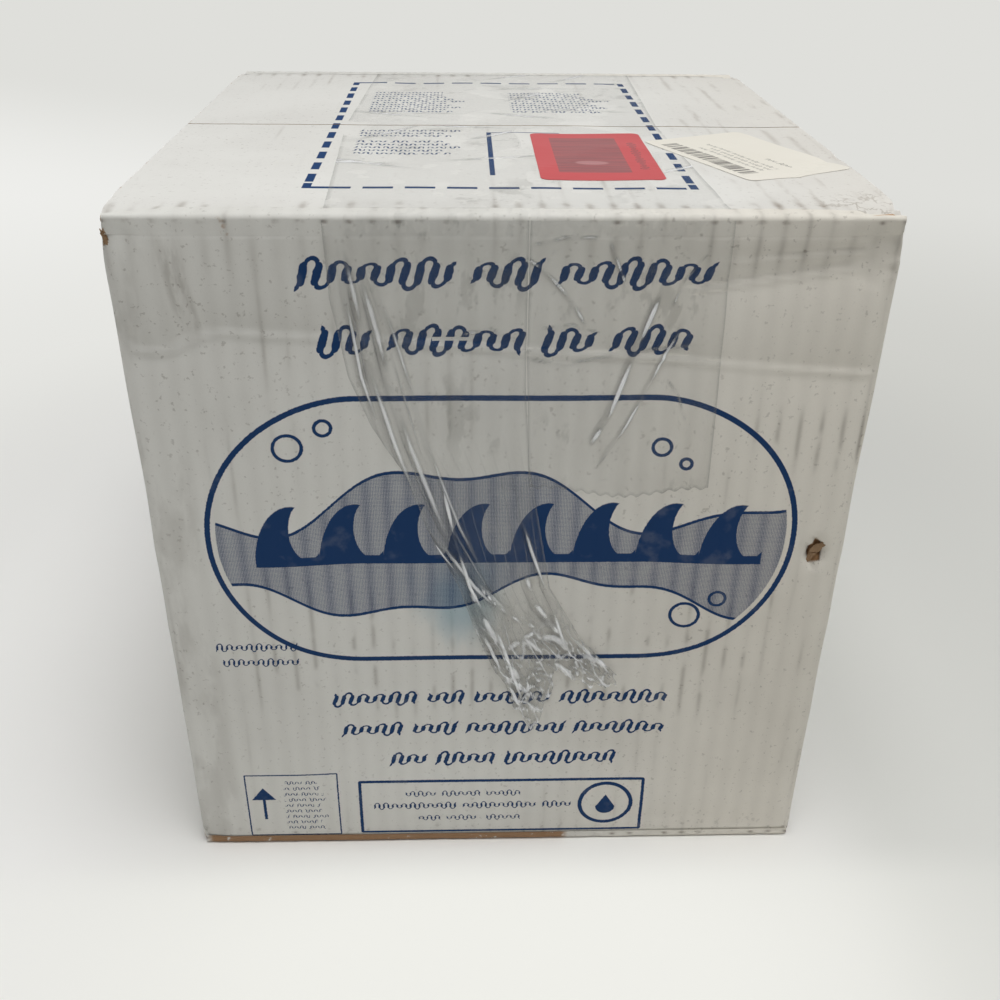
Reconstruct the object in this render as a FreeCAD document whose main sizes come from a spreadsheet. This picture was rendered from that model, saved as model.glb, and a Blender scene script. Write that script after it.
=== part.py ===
import FreeCAD, Part
import math
import os
import Sketcher

# A spa air blower packed in its corrugated shipping carton, with its check valve and
# wall bracket. Millimetres. The origin is the middle of the carton's underside, X runs
# to the right, Y away from the printed front and Z up.

os.makedirs("parts", exist_ok=True)
doc = FreeCAD.newDocument("boxed_spa_blower")
sheet = doc.addObject("Spreadsheet::Sheet", "Sizes")
nodes = []

SIZES = (
    ("carton_width", 285, "two 72 mm tape strips cover half of the lid's width"),
    ("carton_depth", 300, "front to rear"),
    ("carton_height", 305, "over the closed lid"),
    ("board", 4, "C-flute corrugated board"),
    ("corner_radius", 5, "outside of the sleeve's upright folds"),
    ("fold_gap", 0.3, "air between a folded edge and its flap"),
    ("seam_gap", 1, "between two flaps that meet"),
    ("flap_side_gap", 0.5, "a lid flap is narrower than the carton on each side"),
    ("dust_flap_length", 100, "from the fold line"),
    ("dust_flap_setback", 6, "side of a dust flap to the lid flap's fold line"),
    ("dust_flap_angle", 30, "degrees that each side of a dust flap leans in"),
    ("inner_flap_length", 120, "bottom inner flaps, from the fold line"),
    ("glue_tab_width", 35, "joint of the blank inside the rear left corner"),
    ("glue_tab_board", 3, "pressed board of the tab"),
    ("tape_film", 0.1, "film and adhesive"),
    ("tape_width", 72, "one strip; two lie side by side"),
    ("tape_offset", 7.6, "line between the strips, right of the middle"),
    ("front_tape_drop", 190, "how far the strips run down the front"),
    ("rear_tape_drop", 60, "how far the strips run down the rear"),
    ("label_film", 0.15, "printed paper label"),
    ("red_label_width", 49, "red label on the lid"),
    ("red_label_depth", 84, "red label on the lid"),
    ("red_label_side", 103.5, "middle of the red label, from the right edge"),
    ("red_label_back", 91, "middle of the red label, from the front edge"),
    ("paper_label_width", 51, "cream label on the lid"),
    ("paper_label_depth", 77, "cream label on the lid"),
    ("paper_label_side", 39.7, "middle of the cream label, from the right edge"),
    ("paper_label_back", 93, "middle of the cream label, from the front edge"),
    ("paper_label_angle", 24.5, "degrees that the cream label is turned"),
    ("pack_gap", 0.3, "air between loose pieces of the pack"),
    ("pad_board", 6, "double-wall pad under the blower"),
    ("pad_gap", 1.5, "pad to the carton's walls"),
    ("post_leg", 40, "leg of a corner post"),
    ("post_board", 3, "solid board of a corner post"),
    ("post_drop", 6, "top of a post below the dust flaps"),
    ("leaflet_width", 148, "folded instruction sheet"),
    ("leaflet_height", 210, "folded instruction sheet"),
    ("leaflet_thickness", 2, "eight folded pages"),
    ("bracket_height", 120, "upright leg of the galvanised wall bracket"),
    ("bracket_foot", 28, "foot that the blower screws to"),
    ("bracket_sheet", 2, "sheet steel"),
    ("bracket_bend", 4, "outer radius of the bend"),
    ("bracket_hole", 6.5, "diameter for M6 wall screws"),
    ("bracket_room", 9, "bracket to the corner post and to the valve"),
    ("pipe_diameter", 48.3, "1 1/2 inch pipe that the sockets take"),
    ("socket_play", 0.3, "added to a pipe socket's bore"),
    ("valve_radius", 30, "outside of the check valve's body"),
    ("valve_wall", 3.5, "moulded wall"),
    ("valve_socket", 42, "depth of the inlet socket"),
    ("valve_seat", 6, "thickness of the seat"),
    ("valve_seat_bore", 17, "radius of the seat's hole"),
    ("valve_chamber", 38, "height of the chamber over the seat"),
    ("valve_cap_height", 36, "outlet socket over the body"),
    ("valve_spider", 4, "plate that guides the poppet's stem"),
    ("valve_spigot", 14, "how far the cap reaches into the chamber"),
    ("seal_thickness", 2, "rubber face under the poppet"),
    ("seal_gap", 0.2, "seal over its seat at rest"),
    ("poppet_radius", 21.5, "disc"),
    ("poppet_disc", 3, "disc"),
    ("stem_radius", 3, "guide stem of the poppet"),
    ("stem_play", 0.4, "stem in its guide, each side"),
    ("stem_over", 10, "stem above the spider when closed"),
    ("spring_radius", 8, "middle line of the valve spring"),
    ("spring_wire", 1, "wire diameter"),
    ("spring_turns", 4, "working turns"),
    ("side_room", 21.5, "cover to the carton's left and right walls"),
    ("front_room", 14, "cover to the front wall"),
    ("rear_room", 44, "cover to the rear wall, for the bracket and the valve"),
    ("head_room", 24.7, "cover to the dust flaps"),
    ("foot_height", 16, "feet of the blower"),
    ("foot_radius", 9, "one foot"),
    ("foot_inset", 16, "feet inside the edge of the base"),
    ("shell_wall", 3, "moulded housing"),
    ("base_draft", 12, "underside of the base is smaller than its rim"),
    ("flange_lip", 7, "parting flange outside the rim of the base"),
    ("base_height", 102, "underside to rim"),
    ("flange_thickness", 4, "parting flange"),
    ("socket_wall", 6, "outlet socket, so that it also fits inside a 2 inch coupling"),
    ("socket_rise", 24, "socket above the base's underside"),
    ("socket_lift", 1, "socket's end over the pad"),
    ("lug_radius", 8, "screw lug on the parting flange"),
    ("lug_reach", 6, "screws outside the flange"),
    ("lug_angle", 20, "degrees from the right to the first lug"),
    ("lug_thickness", 6, "cover lug"),
    ("screw_radius", 2, "cover screw"),
    ("screw_head_radius", 4, "cover screw"),
    ("screw_head", 3, "cover screw"),
    ("screw_play", 0.2, "screw in its lug, each side"),
    ("cover_skirt", 84, "straight part of the cover"),
    ("dome_flat_radius", 36, "raised flat on the dome"),
    ("louvre_count", 18, "intake slots"),
    ("louvre_width", 6, "intake slot"),
    ("louvre_height", 38, "intake slot"),
    ("louvre_low", 22, "slot over the parting line"),
    ("rib_count", 8, "upright ribs on the cover"),
    ("rib_width", 3, "rib on the cover"),
    ("rib_depth", 1.5, "how far a rib stands out"),
    ("deck_thickness", 3, "plate between intake and outlet chambers"),
    ("deck_inset", 9, "plate inside the flange"),
    ("deck_hole", 52, "hole that the motor hangs through"),
    ("gasket_thickness", 3, "rubber ring under the motor"),
    ("gasket_lap", 2, "gasket outside the deck's hole"),
    ("foam_thickness", 10, "intake silencer ring"),
    ("foam_height", 60, "intake silencer ring"),
    ("fan_radius", 72.5, "fan housing"),
    ("fan_sheet", 1.2, "pressed steel"),
    ("fan_height", 57, "fan housing over its plate"),
    ("fan_eye", 24, "radius of the intake"),
    ("fan_clearance", 7, "impeller to fan housing"),
    ("impeller_sheet", 1.2, "pressed aluminium"),
    ("vane_height", 12, "impeller vanes"),
    ("vane_count", 7, "impeller vanes"),
    ("vane_angle", 50, "degrees that a vane leans back from root to tip"),
    ("impeller_eye", 22, "radius of an impeller's intake"),
    ("hub_radius", 9, "impeller hub"),
    ("hub_height", 16, "impeller hub"),
    ("first_stage_rise", 36.5, "upper impeller over the motor plate"),
    ("second_stage_rise", 5, "lower impeller over the motor plate"),
    ("return_vane_count", 9, "fixed vanes between the stages"),
    ("return_vane_height", 11, "fixed vanes between the stages"),
    ("stage_gap", 1.5, "fixed plates to the impellers"),
    ("shaft_radius", 4, "8 mm motor shaft"),
    ("shaft_play", 0.08, "shaft in a bearing, each side"),
    ("nut_width", 13, "across flats"),
    ("nut_height", 6, "shaft nut"),
    ("bearing_radius", 11, "608 bearing"),
    ("bearing_height", 7, "608 bearing"),
    ("boss_radius", 15, "bearing boss"),
    ("plate_thickness", 4, "motor plate under the fan housing"),
    ("boss_height", 10, "upper bearing boss under the motor plate"),
    ("core_radius", 46, "field laminations"),
    ("core_height", 40, "field and armature laminations"),
    ("core_drop", 22, "field laminations below the motor plate"),
    ("air_gap", 0.8, "armature to field"),
    ("armature_radius", 24, "armature laminations"),
    ("armature_slots", 12, "armature slots"),
    ("slot_width", 5, "armature slot"),
    ("slot_depth", 8, "armature slot"),
    ("coil_inner", 27, "field coil, from the axis"),
    ("coil_outer", 37, "field coil, from the axis"),
    ("coil_half_angle", 58, "field coil from the middle of its pole"),
    ("coil_side_angle", 16, "width of a field coil's side"),
    ("coil_end", 9, "field coil beyond the laminations"),
    ("coil_gap", 0.2, "field coil in its slot"),
    ("commutator_radius", 13, "commutator"),
    ("commutator_height", 12, "commutator"),
    ("brush_width", 7, "carbon brush"),
    ("brush_gap", 0.2, "brush to commutator"),
    ("brush_length", 20, "carbon brush"),
    ("holder_wall", 2, "brush holder"),
    ("leg_width", 12, "legs of the motor brackets"),
    ("leg_depth", 6, "legs of the motor brackets"),
    ("wiring_width", 60, "terminal box beside the base"),
    ("wiring_depth", 22, "terminal box beside the base"),
    ("wiring_height", 70, "terminal box beside the base"),
    ("wiring_wall", 2.5, "terminal box"),
    ("knockout_radius", 10, "conduit entry of the terminal box"),
    ("wiring_angle", 135, "degrees from the rear to the terminal box"),
)

for row, (alias, value, note) in enumerate(SIZES, 1):
    sheet.set(f"A{row}", alias)
    sheet.set(f"B{row}", str(value))
    sheet.set(f"C{row}", note)
    sheet.setAlias(f"B{row}", alias)
doc.recompute()


# A number together with the sheet expression that gives it
class Dim:
    def __init__(self, value, text):
        self.value = value
        self.text = text

    def __float__(self):
        return float(self.value)

    def __add__(self, other):
        other = dim(other)
        return Dim(self.value + other.value, f"({self.text} + {other.text})")

    def __sub__(self, other):
        other = dim(other)
        return Dim(self.value - other.value, f"({self.text} - {other.text})")

    def __mul__(self, other):
        other = dim(other)
        return Dim(self.value * other.value, f"({self.text} * {other.text})")

    def __truediv__(self, other):
        other = dim(other)
        return Dim(self.value / other.value, f"({self.text} / {other.text})")

    def __neg__(self):
        return Dim(-self.value, f"(0 - {self.text})")

    def __radd__(self, other):
        return dim(other) + self

    def __rsub__(self, other):
        return dim(other) - self

    def __rmul__(self, other):
        return dim(other) * self


def dim(number):
    if isinstance(number, Dim):
        return number
    return Dim(number, f"({number})")


# The sheet's cells by their aliases
class Sheet:
    def __getattr__(self, alias):
        return Dim(float(sheet.get(alias)), f"Sizes.{alias}")


s = Sheet()


def smaller(first, second):
    value = min(first.value, second.value)
    return Dim(value, f"min({first.text}; {second.text})")


def vector(x=0, y=0, z=0):
    return FreeCAD.Vector(float(x), float(y), float(z))


def cosine(angle):
    return Dim(math.cos(math.radians(angle.value)), f"cos({angle.text} * 1 deg)")


def sine(angle):
    return Dim(math.sin(math.radians(angle.value)), f"sin({angle.text} * 1 deg)")


def tangent(angle):
    return Dim(math.tan(math.radians(angle.value)), f"tan({angle.text} * 1 deg)")


# Placing and naming
def place(item, x=0, y=0, z=0, turn=0, axis=(0, 0, 1)):
    for letter, value in (("x", x), ("y", y), ("z", z)):
        item.setExpression(f"Placement.Base.{letter}", dim(value).text)
    if turn != 0:
        item.Placement = FreeCAD.Placement(item.Placement.Base, FreeCAD.Rotation(vector(*axis), 1))
        item.setExpression("Placement.Rotation.Angle", f"{dim(turn).text} * 1 deg")


def keep(item, label):
    item.Label = label
    nodes.append(item)
    return item


# Bodies, sketches and features
def new_body(label):
    return keep(doc.addObject("PartDesign::Body", label), label)


def plane(body, role):
    for feature in body.Origin.OriginFeatures:
        if feature.Role == role:
            return feature
    return None


def new_sketch(body, role="XY_Plane", lift=0):
    sketch = body.newObject("Sketcher::SketchObject", "Sketch")
    sketch.AttachmentSupport = [(plane(body, role), "")]
    sketch.MapMode = "FlatFace"
    sketch.setExpression("AttachmentOffset.Base.z", dim(lift).text)
    return sketch


def pin(sketch, edge, end, x, y):
    for kind, value in (("DistanceX", dim(x)), ("DistanceY", dim(y))):
        number = sketch.addConstraint(
            Sketcher.Constraint(kind, -1, 1, edge, end, value.value))
        sketch.setExpression(f"Constraints[{number}]", value.text)


def set_radius(sketch, edge, radius):
    number = sketch.addConstraint(Sketcher.Constraint("Radius", edge, float(radius)))
    sketch.setExpression(f"Constraints[{number}]", dim(radius).text)


def outline(sketch, points):
    first = sketch.GeometryCount
    count = len(points)
    for index, point in enumerate(points):
        following = points[(index + 1) % count]
        sketch.addGeometry(Part.LineSegment(vector(*point), vector(*following)), False)
    for index, point in enumerate(points):
        edge = first + index
        following = first + (index + 1) % count
        sketch.addConstraint(Sketcher.Constraint("Coincident", edge, 2, following, 1))
        pin(sketch, edge, 1, *point)


def circle(sketch, radius, x=0, y=0):
    edge = sketch.addGeometry(Part.Circle(vector(x, y), vector(0, 0, 1), float(radius)), False)
    pin(sketch, edge, 3, x, y)
    set_radius(sketch, edge, radius)


def rectangle(sketch, width, depth, x=0, y=0):
    left = x - width / 2
    right = x + width / 2
    low = y - depth / 2
    high = y + depth / 2
    outline(sketch, [(left, low), (right, low), (right, high), (left, high)])


# A rectangle about the sketch's origin with its four corners as tangent arcs
def rounded_rectangle(sketch, width, depth, radius):
    first = sketch.GeometryCount
    across = width / 2 - radius
    along = depth / 2 - radius
    centres = [(across, along), (-across, along), (-across, -along), (across, -along)]
    for quarter, centre in enumerate(centres):
        start = math.radians(90 * quarter)
        round_part = Part.Circle(vector(*centre), vector(0, 0, 1), float(radius))
        sketch.addGeometry(Part.ArcOfCircle(round_part, start, start + math.pi / 2), False)
    for quarter, centre in enumerate(centres):
        side = math.radians(90 * quarter + 90)
        reach = vector(math.cos(side), math.sin(side)) * float(radius)
        following = centres[(quarter + 1) % 4]
        sketch.addGeometry(
            Part.LineSegment(vector(*centre) + reach, vector(*following) + reach), False)
    for quarter, centre in enumerate(centres):
        arc = first + quarter
        line = first + 4 + quarter
        following = first + (quarter + 1) % 4
        pin(sketch, arc, 3, *centre)
        set_radius(sketch, arc, radius)
        sketch.addConstraint(Sketcher.Constraint("Tangent", arc, 2, line, 1))
        sketch.addConstraint(Sketcher.Constraint("Tangent", line, 2, following, 1))


def feature(body, kind, sketch, **bound):
    item = body.newObject(f"PartDesign::{kind}", kind)
    item.Profile = sketch
    for name, value in bound.items():
        item.setExpression(name, dim(value).text)
    return item


def pad(body, sketch, length, both=False, back=False):
    item = feature(body, "Pad", sketch, Length=length)
    item.Reversed = back
    if both:
        item.SideType = "Symmetric"
    return item


def pocket(body, sketch, length, both=False, back=False):
    item = feature(body, "Pocket", sketch, Length=length)
    item.Reversed = back
    if both:
        item.SideType = "Symmetric"
    return item


def revolve(body, points, kind="Revolution"):
    sketch = new_sketch(body, "XZ_Plane")
    outline(sketch, points)
    item = body.newObject(f"PartDesign::{kind}", kind)
    item.Profile = sketch
    item.ReferenceAxis = (sketch, ["V_Axis"])
    item.Angle = 360
    return item


def around(body, original, count):
    doc.recompute()
    item = body.newObject("PartDesign::PolarPattern", "Pattern")
    item.Originals = [original]
    item.Axis = (plane(body, "Z_Axis"), [""])
    item.Angle = 360
    item.setExpression("Occurrences", dim(count).text)
    body.Tip = item
    return item


# Rounds the edges for which test(edge) holds
def round_edges(body, radius, test):
    doc.recompute()
    base = body.Tip
    chosen = []
    for number, edge in enumerate(base.Shape.Edges, 1):
        if test(edge):
            chosen.append(f"Edge{number}")
    item = body.newObject("PartDesign::Fillet", "Fillet")
    item.Base = (base, chosen)
    item.setExpression("Radius", dim(radius).text)
    return item


def circle_at(radius, height):
    def test(edge):
        if not isinstance(edge.Curve, Part.Circle):
            return False
        box = edge.BoundBox
        level = abs(box.ZMax - float(height)) < 0.01 and box.ZLength < 0.01
        return level and abs(edge.Curve.Radius - float(radius)) < 0.01
    return test


def upright(edge):
    return edge.BoundBox.XLength + edge.BoundBox.YLength < 0.01


def turned(label, points):
    body = new_body(label)
    revolve(body, points)
    return body


def box(label, width, depth, height, x, y, z):
    item = keep(doc.addObject("Part::Box", label), label)
    item.setExpression("Length", dim(width).text)
    item.setExpression("Width", dim(depth).text)
    item.setExpression("Height", dim(height).text)
    place(item, x - width / 2, y - depth / 2, z)
    return item


# Levels and lines that several pieces share
half_width = s.carton_width / 2
half_depth = s.carton_depth / 2
fold_clear = s.board / 2 + s.fold_gap
lid_axis = s.carton_height - s.board / 2
lid_underside = s.carton_height - s.board
dust_axis = lid_axis - s.board - s.fold_gap
dust_underside = dust_axis - s.board / 2
front_axis = half_depth - s.board / 2
side_axis = half_width - s.board / 2
floor_axis = s.board / 2
inner_floor_axis = floor_axis + s.board
inside_width = s.carton_width - 2 * s.board
inside_depth = s.carton_depth - 2 * s.board
pad_low = 2 * s.board
pad_top = pad_low + s.pad_board

# The check valve stands inside the post of the rear right corner
valve_room = s.pack_gap + s.post_board + s.pack_gap
valve_outer = s.valve_radius + 1
valve_x = half_width - s.board - valve_room - valve_outer
valve_y = half_depth - s.board - valve_room - valve_outer

# The bracket takes the room between the rear left post and the valve
bracket_left = s.board + s.pack_gap + s.glue_tab_board + s.post_leg + s.bracket_room - half_width
bracket_right = valve_x - valve_outer - s.bracket_room
bracket_width = bracket_right - bracket_left

# The blower's outside takes the room that the carton leaves it
across_room = inside_width / 2 - s.side_room
along_room = (inside_depth - s.front_room - s.rear_room) / 2
flange_radius = smaller(across_room, along_room)
blower_forward = half_depth - s.board - s.front_room - flange_radius
rim_radius = flange_radius - s.flange_lip
base_radius = rim_radius - s.base_draft
foot_circle = base_radius - s.foot_inset
lug_circle = flange_radius + s.lug_reach
deck_radius = flange_radius - s.deck_inset
blower_height = dust_underside - s.head_room - pad_top
cover_dome = blower_height - s.foot_height - s.base_height - s.cover_skirt


# Carton sleeve
def make_sleeve():
    body = new_body("carton_sleeve")
    wall = new_sketch(body, lift=floor_axis)
    rounded_rectangle(wall, s.carton_width, s.carton_depth, s.corner_radius)
    pad(body, wall, lid_axis - floor_axis)
    inside = new_sketch(body, lift=floor_axis)
    rounded_rectangle(inside, inside_width, inside_depth, s.corner_radius - s.board)
    pocket(body, inside, lid_axis - floor_axis, back=True)
    for level, height, upwards in ((dust_axis, s.board * 2, True),
                                   (inner_floor_axis, s.board * 2, False)):
        slot = new_sketch(body, lift=level)
        rectangle(slot, s.carton_width * 2, inside_depth)
        pocket(body, slot, height, back=upwards)
    for level in (lid_axis, floor_axis):
        for side in (-1, 1):
            bead = new_sketch(body, "YZ_Plane")
            circle(bead, s.board / 2, side * front_axis, level)
            pad(body, bead, s.carton_width - 2 * s.corner_radius, both=True)
    for level in (dust_axis, inner_floor_axis):
        for side in (-1, 1):
            bead = new_sketch(body, "XZ_Plane")
            circle(bead, s.board / 2, side * side_axis, level)
            pad(body, bead, inside_depth + s.board / 2, both=True)
    tab_low = pad_top + s.pack_gap
    tab_high = dust_underside - s.board
    tab_rear = half_depth - s.board
    tab_front = tab_rear - s.glue_tab_width
    tab = new_sketch(body, "YZ_Plane", lift=-(half_width - s.board))
    outline(tab, [(tab_front, tab_low + s.board * 2), (tab_rear, tab_low),
                  (tab_rear, tab_high), (tab_front, tab_high - s.board * 2)])
    pad(body, tab, s.glue_tab_board)


# A flap in its own frame: the fold's axis is X at the origin and the flap runs to +Y.
# The root and tip widths are those of its two ends.
def make_flap(label, length, root, tip, x, y, z, turn):
    body = new_body(label)
    sketch = new_sketch(body, lift=-s.board / 2)
    outline(sketch, [(-root / 2, fold_clear), (root / 2, fold_clear),
                     (tip / 2, length), (-tip / 2, length)])
    pad(body, sketch, s.board)
    place(body, x, y, z, turn)


def make_flaps():
    lid_width = s.carton_width - 2 * s.flap_side_gap
    lid_length = front_axis - s.seam_gap / 2
    make_flap("front_top_flap", lid_length, lid_width, lid_width, 0, -front_axis, lid_axis, 0)
    make_flap("rear_top_flap", lid_length, lid_width, lid_width, 0, front_axis, lid_axis, 180)
    make_flap("front_bottom_flap", lid_length, lid_width, lid_width,
              0, -front_axis, floor_axis, 0)
    make_flap("rear_bottom_flap", lid_length, lid_width, lid_width,
              0, front_axis, floor_axis, 180)
    dust_root = 2 * (front_axis - s.dust_flap_setback)
    dust_tip = dust_root - 2 * (s.dust_flap_length - fold_clear) * tangent(s.dust_flap_angle)
    make_flap("left_dust_flap", s.dust_flap_length, dust_root, dust_tip,
              -side_axis, 0, dust_axis, -90)
    make_flap("right_dust_flap", s.dust_flap_length, dust_root, dust_tip,
              side_axis, 0, dust_axis, 90)
    make_flap("left_bottom_flap", s.inner_flap_length, dust_root, dust_root,
              -side_axis, 0, inner_floor_axis, -90)
    make_flap("right_bottom_flap", s.inner_flap_length, dust_root, dust_root,
              side_axis, 0, inner_floor_axis, 90)


# Tape and labels, thin films on the outside of the board
def make_films():
    width = 2 * s.tape_width
    wall_top = lid_axis
    lid_run = front_axis - fold_clear - s.seam_gap / 2
    lid_middle = fold_clear / 2 - front_axis / 2 - s.seam_gap / 4
    film_half = half_depth + s.tape_film / 2
    box("front_wall_tape", width, s.tape_film, s.front_tape_drop,
        s.tape_offset, -film_half, wall_top - s.front_tape_drop)
    box("front_flap_tape", width, lid_run, s.tape_film,
        s.tape_offset, lid_middle, s.carton_height)
    box("rear_flap_tape", width, lid_run, s.tape_film,
        s.tape_offset, -lid_middle, s.carton_height)
    box("rear_wall_tape", width, s.tape_film, s.rear_tape_drop,
        s.tape_offset, film_half, wall_top - s.rear_tape_drop)
    over_tape = s.carton_height + s.tape_film
    box("red_label", s.red_label_width, s.red_label_depth, s.label_film,
        half_width - s.red_label_side, s.red_label_back - half_depth, over_tape)
    label = new_body("paper_label")
    sheet_outline = new_sketch(label)
    rectangle(sheet_outline, s.paper_label_width, s.paper_label_depth)
    pad(label, sheet_outline, s.label_film)
    place(label, half_width - s.paper_label_side, s.paper_label_back - half_depth,
          over_tape, s.paper_label_angle)


# Loose packing
def make_packing():
    pad_body = new_body("bottom_pad")
    sketch = new_sketch(pad_body)
    rounded_rectangle(sketch, inside_width - 2 * s.pad_gap, inside_depth - 2 * s.pad_gap,
                      s.corner_radius)
    pad(pad_body, sketch, s.pad_board)
    place(pad_body, 0, 0, pad_low)
    post_height = dust_underside - s.post_drop - pad_top
    corners = (("front_right", -1, 1, 90), ("rear_right", 1, 1, 180),
               ("rear_left", 1, -1, 270), ("front_left", -1, -1, 0))
    for name, rear, right, turn in corners:
        post = new_body(f"{name}_post")
        angle = new_sketch(post)
        outline(angle, [(0, 0), (s.post_leg, 0), (s.post_leg, s.post_board),
                        (s.post_board, s.post_board), (s.post_board, s.post_leg),
                        (0, s.post_leg)])
        pad(post, angle, post_height)
        inset = s.pack_gap
        if name == "rear_left":
            inset = s.pack_gap + s.glue_tab_board
        x = right * (half_width - s.board - inset)
        y = rear * (half_depth - s.board - s.pack_gap)
        place(post, x, y, pad_top, turn)
    box("instruction_leaflet", s.leaflet_thickness, s.leaflet_width, s.leaflet_height,
        s.board + s.pack_gap + s.leaflet_thickness / 2 - half_width, 0, pad_top)


# Wall bracket, a bent sheet that stands against the rear wall
def make_bracket():
    body = new_body("wall_bracket")
    profile = new_sketch(body, "YZ_Plane")
    sheet_in = s.bracket_sheet
    outline(profile, [(0, 0), (0, s.bracket_height), (-sheet_in, s.bracket_height),
                      (-sheet_in, sheet_in), (-s.bracket_foot, sheet_in),
                      (-s.bracket_foot, 0)])
    pad(body, profile, bracket_width, both=True)

    def outer_bend(edge):
        bounds = edge.BoundBox
        return abs(bounds.YMax) < 0.01 and bounds.ZMax < 0.01 and bounds.XLength > 1

    def inner_bend(edge):
        bounds = edge.BoundBox
        flat = abs(bounds.YMax + float(sheet_in)) + bounds.YLength < 0.01
        return flat and abs(bounds.ZMax - float(sheet_in)) < 0.01 and bounds.XLength > 1

    round_edges(body, s.bracket_bend, outer_bend)
    round_edges(body, s.bracket_bend - sheet_in, inner_bend)
    hole = new_sketch(body, "XZ_Plane")
    for side in (-1, 1):
        for level in (s.bracket_height * 3 / 4, s.bracket_height / 3):
            circle(hole, s.bracket_hole / 2, side * bracket_width / 3, level)
    pocket(body, hole, s.bracket_sheet * 4, both=True)
    slot = new_sketch(body)
    for side in (-1, 1):
        rectangle(slot, s.bracket_hole * 2, s.bracket_hole, side * bracket_width / 3,
                  -s.bracket_foot / 2)
    pocket(body, slot, s.bracket_sheet * 4, both=True)
    place(body, (bracket_left + bracket_right) / 2, half_depth - s.board - s.pack_gap,
          pad_top)


# Check valve levels, from the underside of its body
seat_top = s.valve_socket + s.valve_seat
valve_top = seat_top + s.valve_chamber
seal_low = seat_top + s.seal_gap
disc_low = seal_low + s.seal_thickness
disc_top = disc_low + s.poppet_disc
spider_low = valve_top - s.valve_spigot
spider_top = spider_low + s.valve_spider
pipe_bore = (s.pipe_diameter + s.socket_play) / 2


def make_valve():
    inner = s.valve_radius - s.valve_wall
    parts = []
    parts.append(turned("valve_body", [
        (pipe_bore, 0), (s.valve_radius, 0), (s.valve_radius, valve_top), (inner, valve_top),
        (inner, seat_top), (s.valve_seat_bore, seat_top),
        (s.valve_seat_bore, s.valve_socket), (pipe_bore, s.valve_socket)]))
    guide = s.stem_radius + s.stem_play
    spigot = inner - s.pack_gap
    cap_top = valve_top + s.valve_cap_height
    cap = turned("valve_cap", [
        (guide, spider_low), (spigot, spider_low), (spigot, valve_top),
        (valve_outer, valve_top), (valve_outer, cap_top), (pipe_bore, cap_top),
        (pipe_bore, valve_top), (spigot - s.valve_wall, valve_top),
        (spigot - s.valve_wall, spider_top), (guide, spider_top)])
    window = new_sketch(cap, lift=spider_low)
    circle(window, s.valve_spider, (spigot - s.valve_wall + guide) / 2 + s.spring_wire, 0)
    cut = pocket(cap, window, s.valve_spider, back=True)
    around(cap, cut, 6)
    parts.append(cap)
    parts.append(turned("valve_poppet", [
        (0, disc_low), (s.poppet_radius, disc_low), (s.poppet_radius, disc_top),
        (s.stem_radius, disc_top), (s.stem_radius, spider_top + s.stem_over),
        (0, spider_top + s.stem_over)]))
    parts.append(turned("poppet_seal", [
        (s.valve_seat_bore - s.seal_thickness, seal_low), (s.poppet_radius, seal_low),
        (s.poppet_radius, disc_low), (s.valve_seat_bore - s.seal_thickness, disc_low)]))
    for part in parts:
        place(part, valve_x, valve_y, pad_top)
    make_spring()


def make_spring():
    length = spider_low - disc_top - s.spring_wire
    line = doc.addObject("Part::Helix", "spring_line")
    line.setExpression("Height", length.text)
    line.setExpression("Pitch", (length / s.spring_turns).text)
    line.setExpression("Radius", s.spring_radius.text)
    wire = doc.addObject("Part::RegularPolygon", "spring_wire")
    wire.Polygon = 6
    wire.setExpression("Circumradius", (s.spring_wire / 2).text)
    wire.Placement = FreeCAD.Placement(vector(), FreeCAD.Rotation(vector(1, 0, 0), 90))
    wire.setExpression("Placement.Base.x", s.spring_radius.text)
    spring = keep(doc.addObject("Part::Sweep", "valve_spring"), "valve_spring")
    spring.Sections = [wire]
    spring.Spine = (line, [])
    spring.Solid = True
    spring.Frenet = True
    place(spring, valve_x, valve_y, pad_top + disc_top + s.spring_wire / 2)


# Blower levels, from the underside of its feet
rim = s.foot_height + s.base_height
deck_top = rim + s.deck_thickness
motor_plate = deck_top + s.gasket_thickness
fan_floor = motor_plate + s.plate_thickness
fan_top = fan_floor + s.fan_height
core_top = motor_plate - s.core_drop
core_low = core_top - s.core_height
cover_inner = flange_radius - s.shell_wall
commutator_top = core_low - s.coil_end - s.stage_gap
commutator_low = commutator_top - s.commutator_height
lower_bearing_top = commutator_low - s.leg_depth / 2
lower_bearing_low = lower_bearing_top - s.bearing_height
blower_parts = []


def blower(body):
    blower_parts.append(body)
    return body


# Four lugs on a level of the parting flange
def add_lugs(body, low, height):
    lug = new_sketch(body, lift=low)
    x = lug_circle * cosine(s.lug_angle)
    y = lug_circle * sine(s.lug_angle)
    circle(lug, s.lug_radius, x, y)
    solid = pad(body, lug, height)
    around(body, solid, 4)
    hole = new_sketch(body, lift=low)
    circle(hole, s.screw_radius + s.screw_play, x, y)
    cut = pocket(body, hole, height, back=True)
    around(body, cut, 4)


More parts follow.
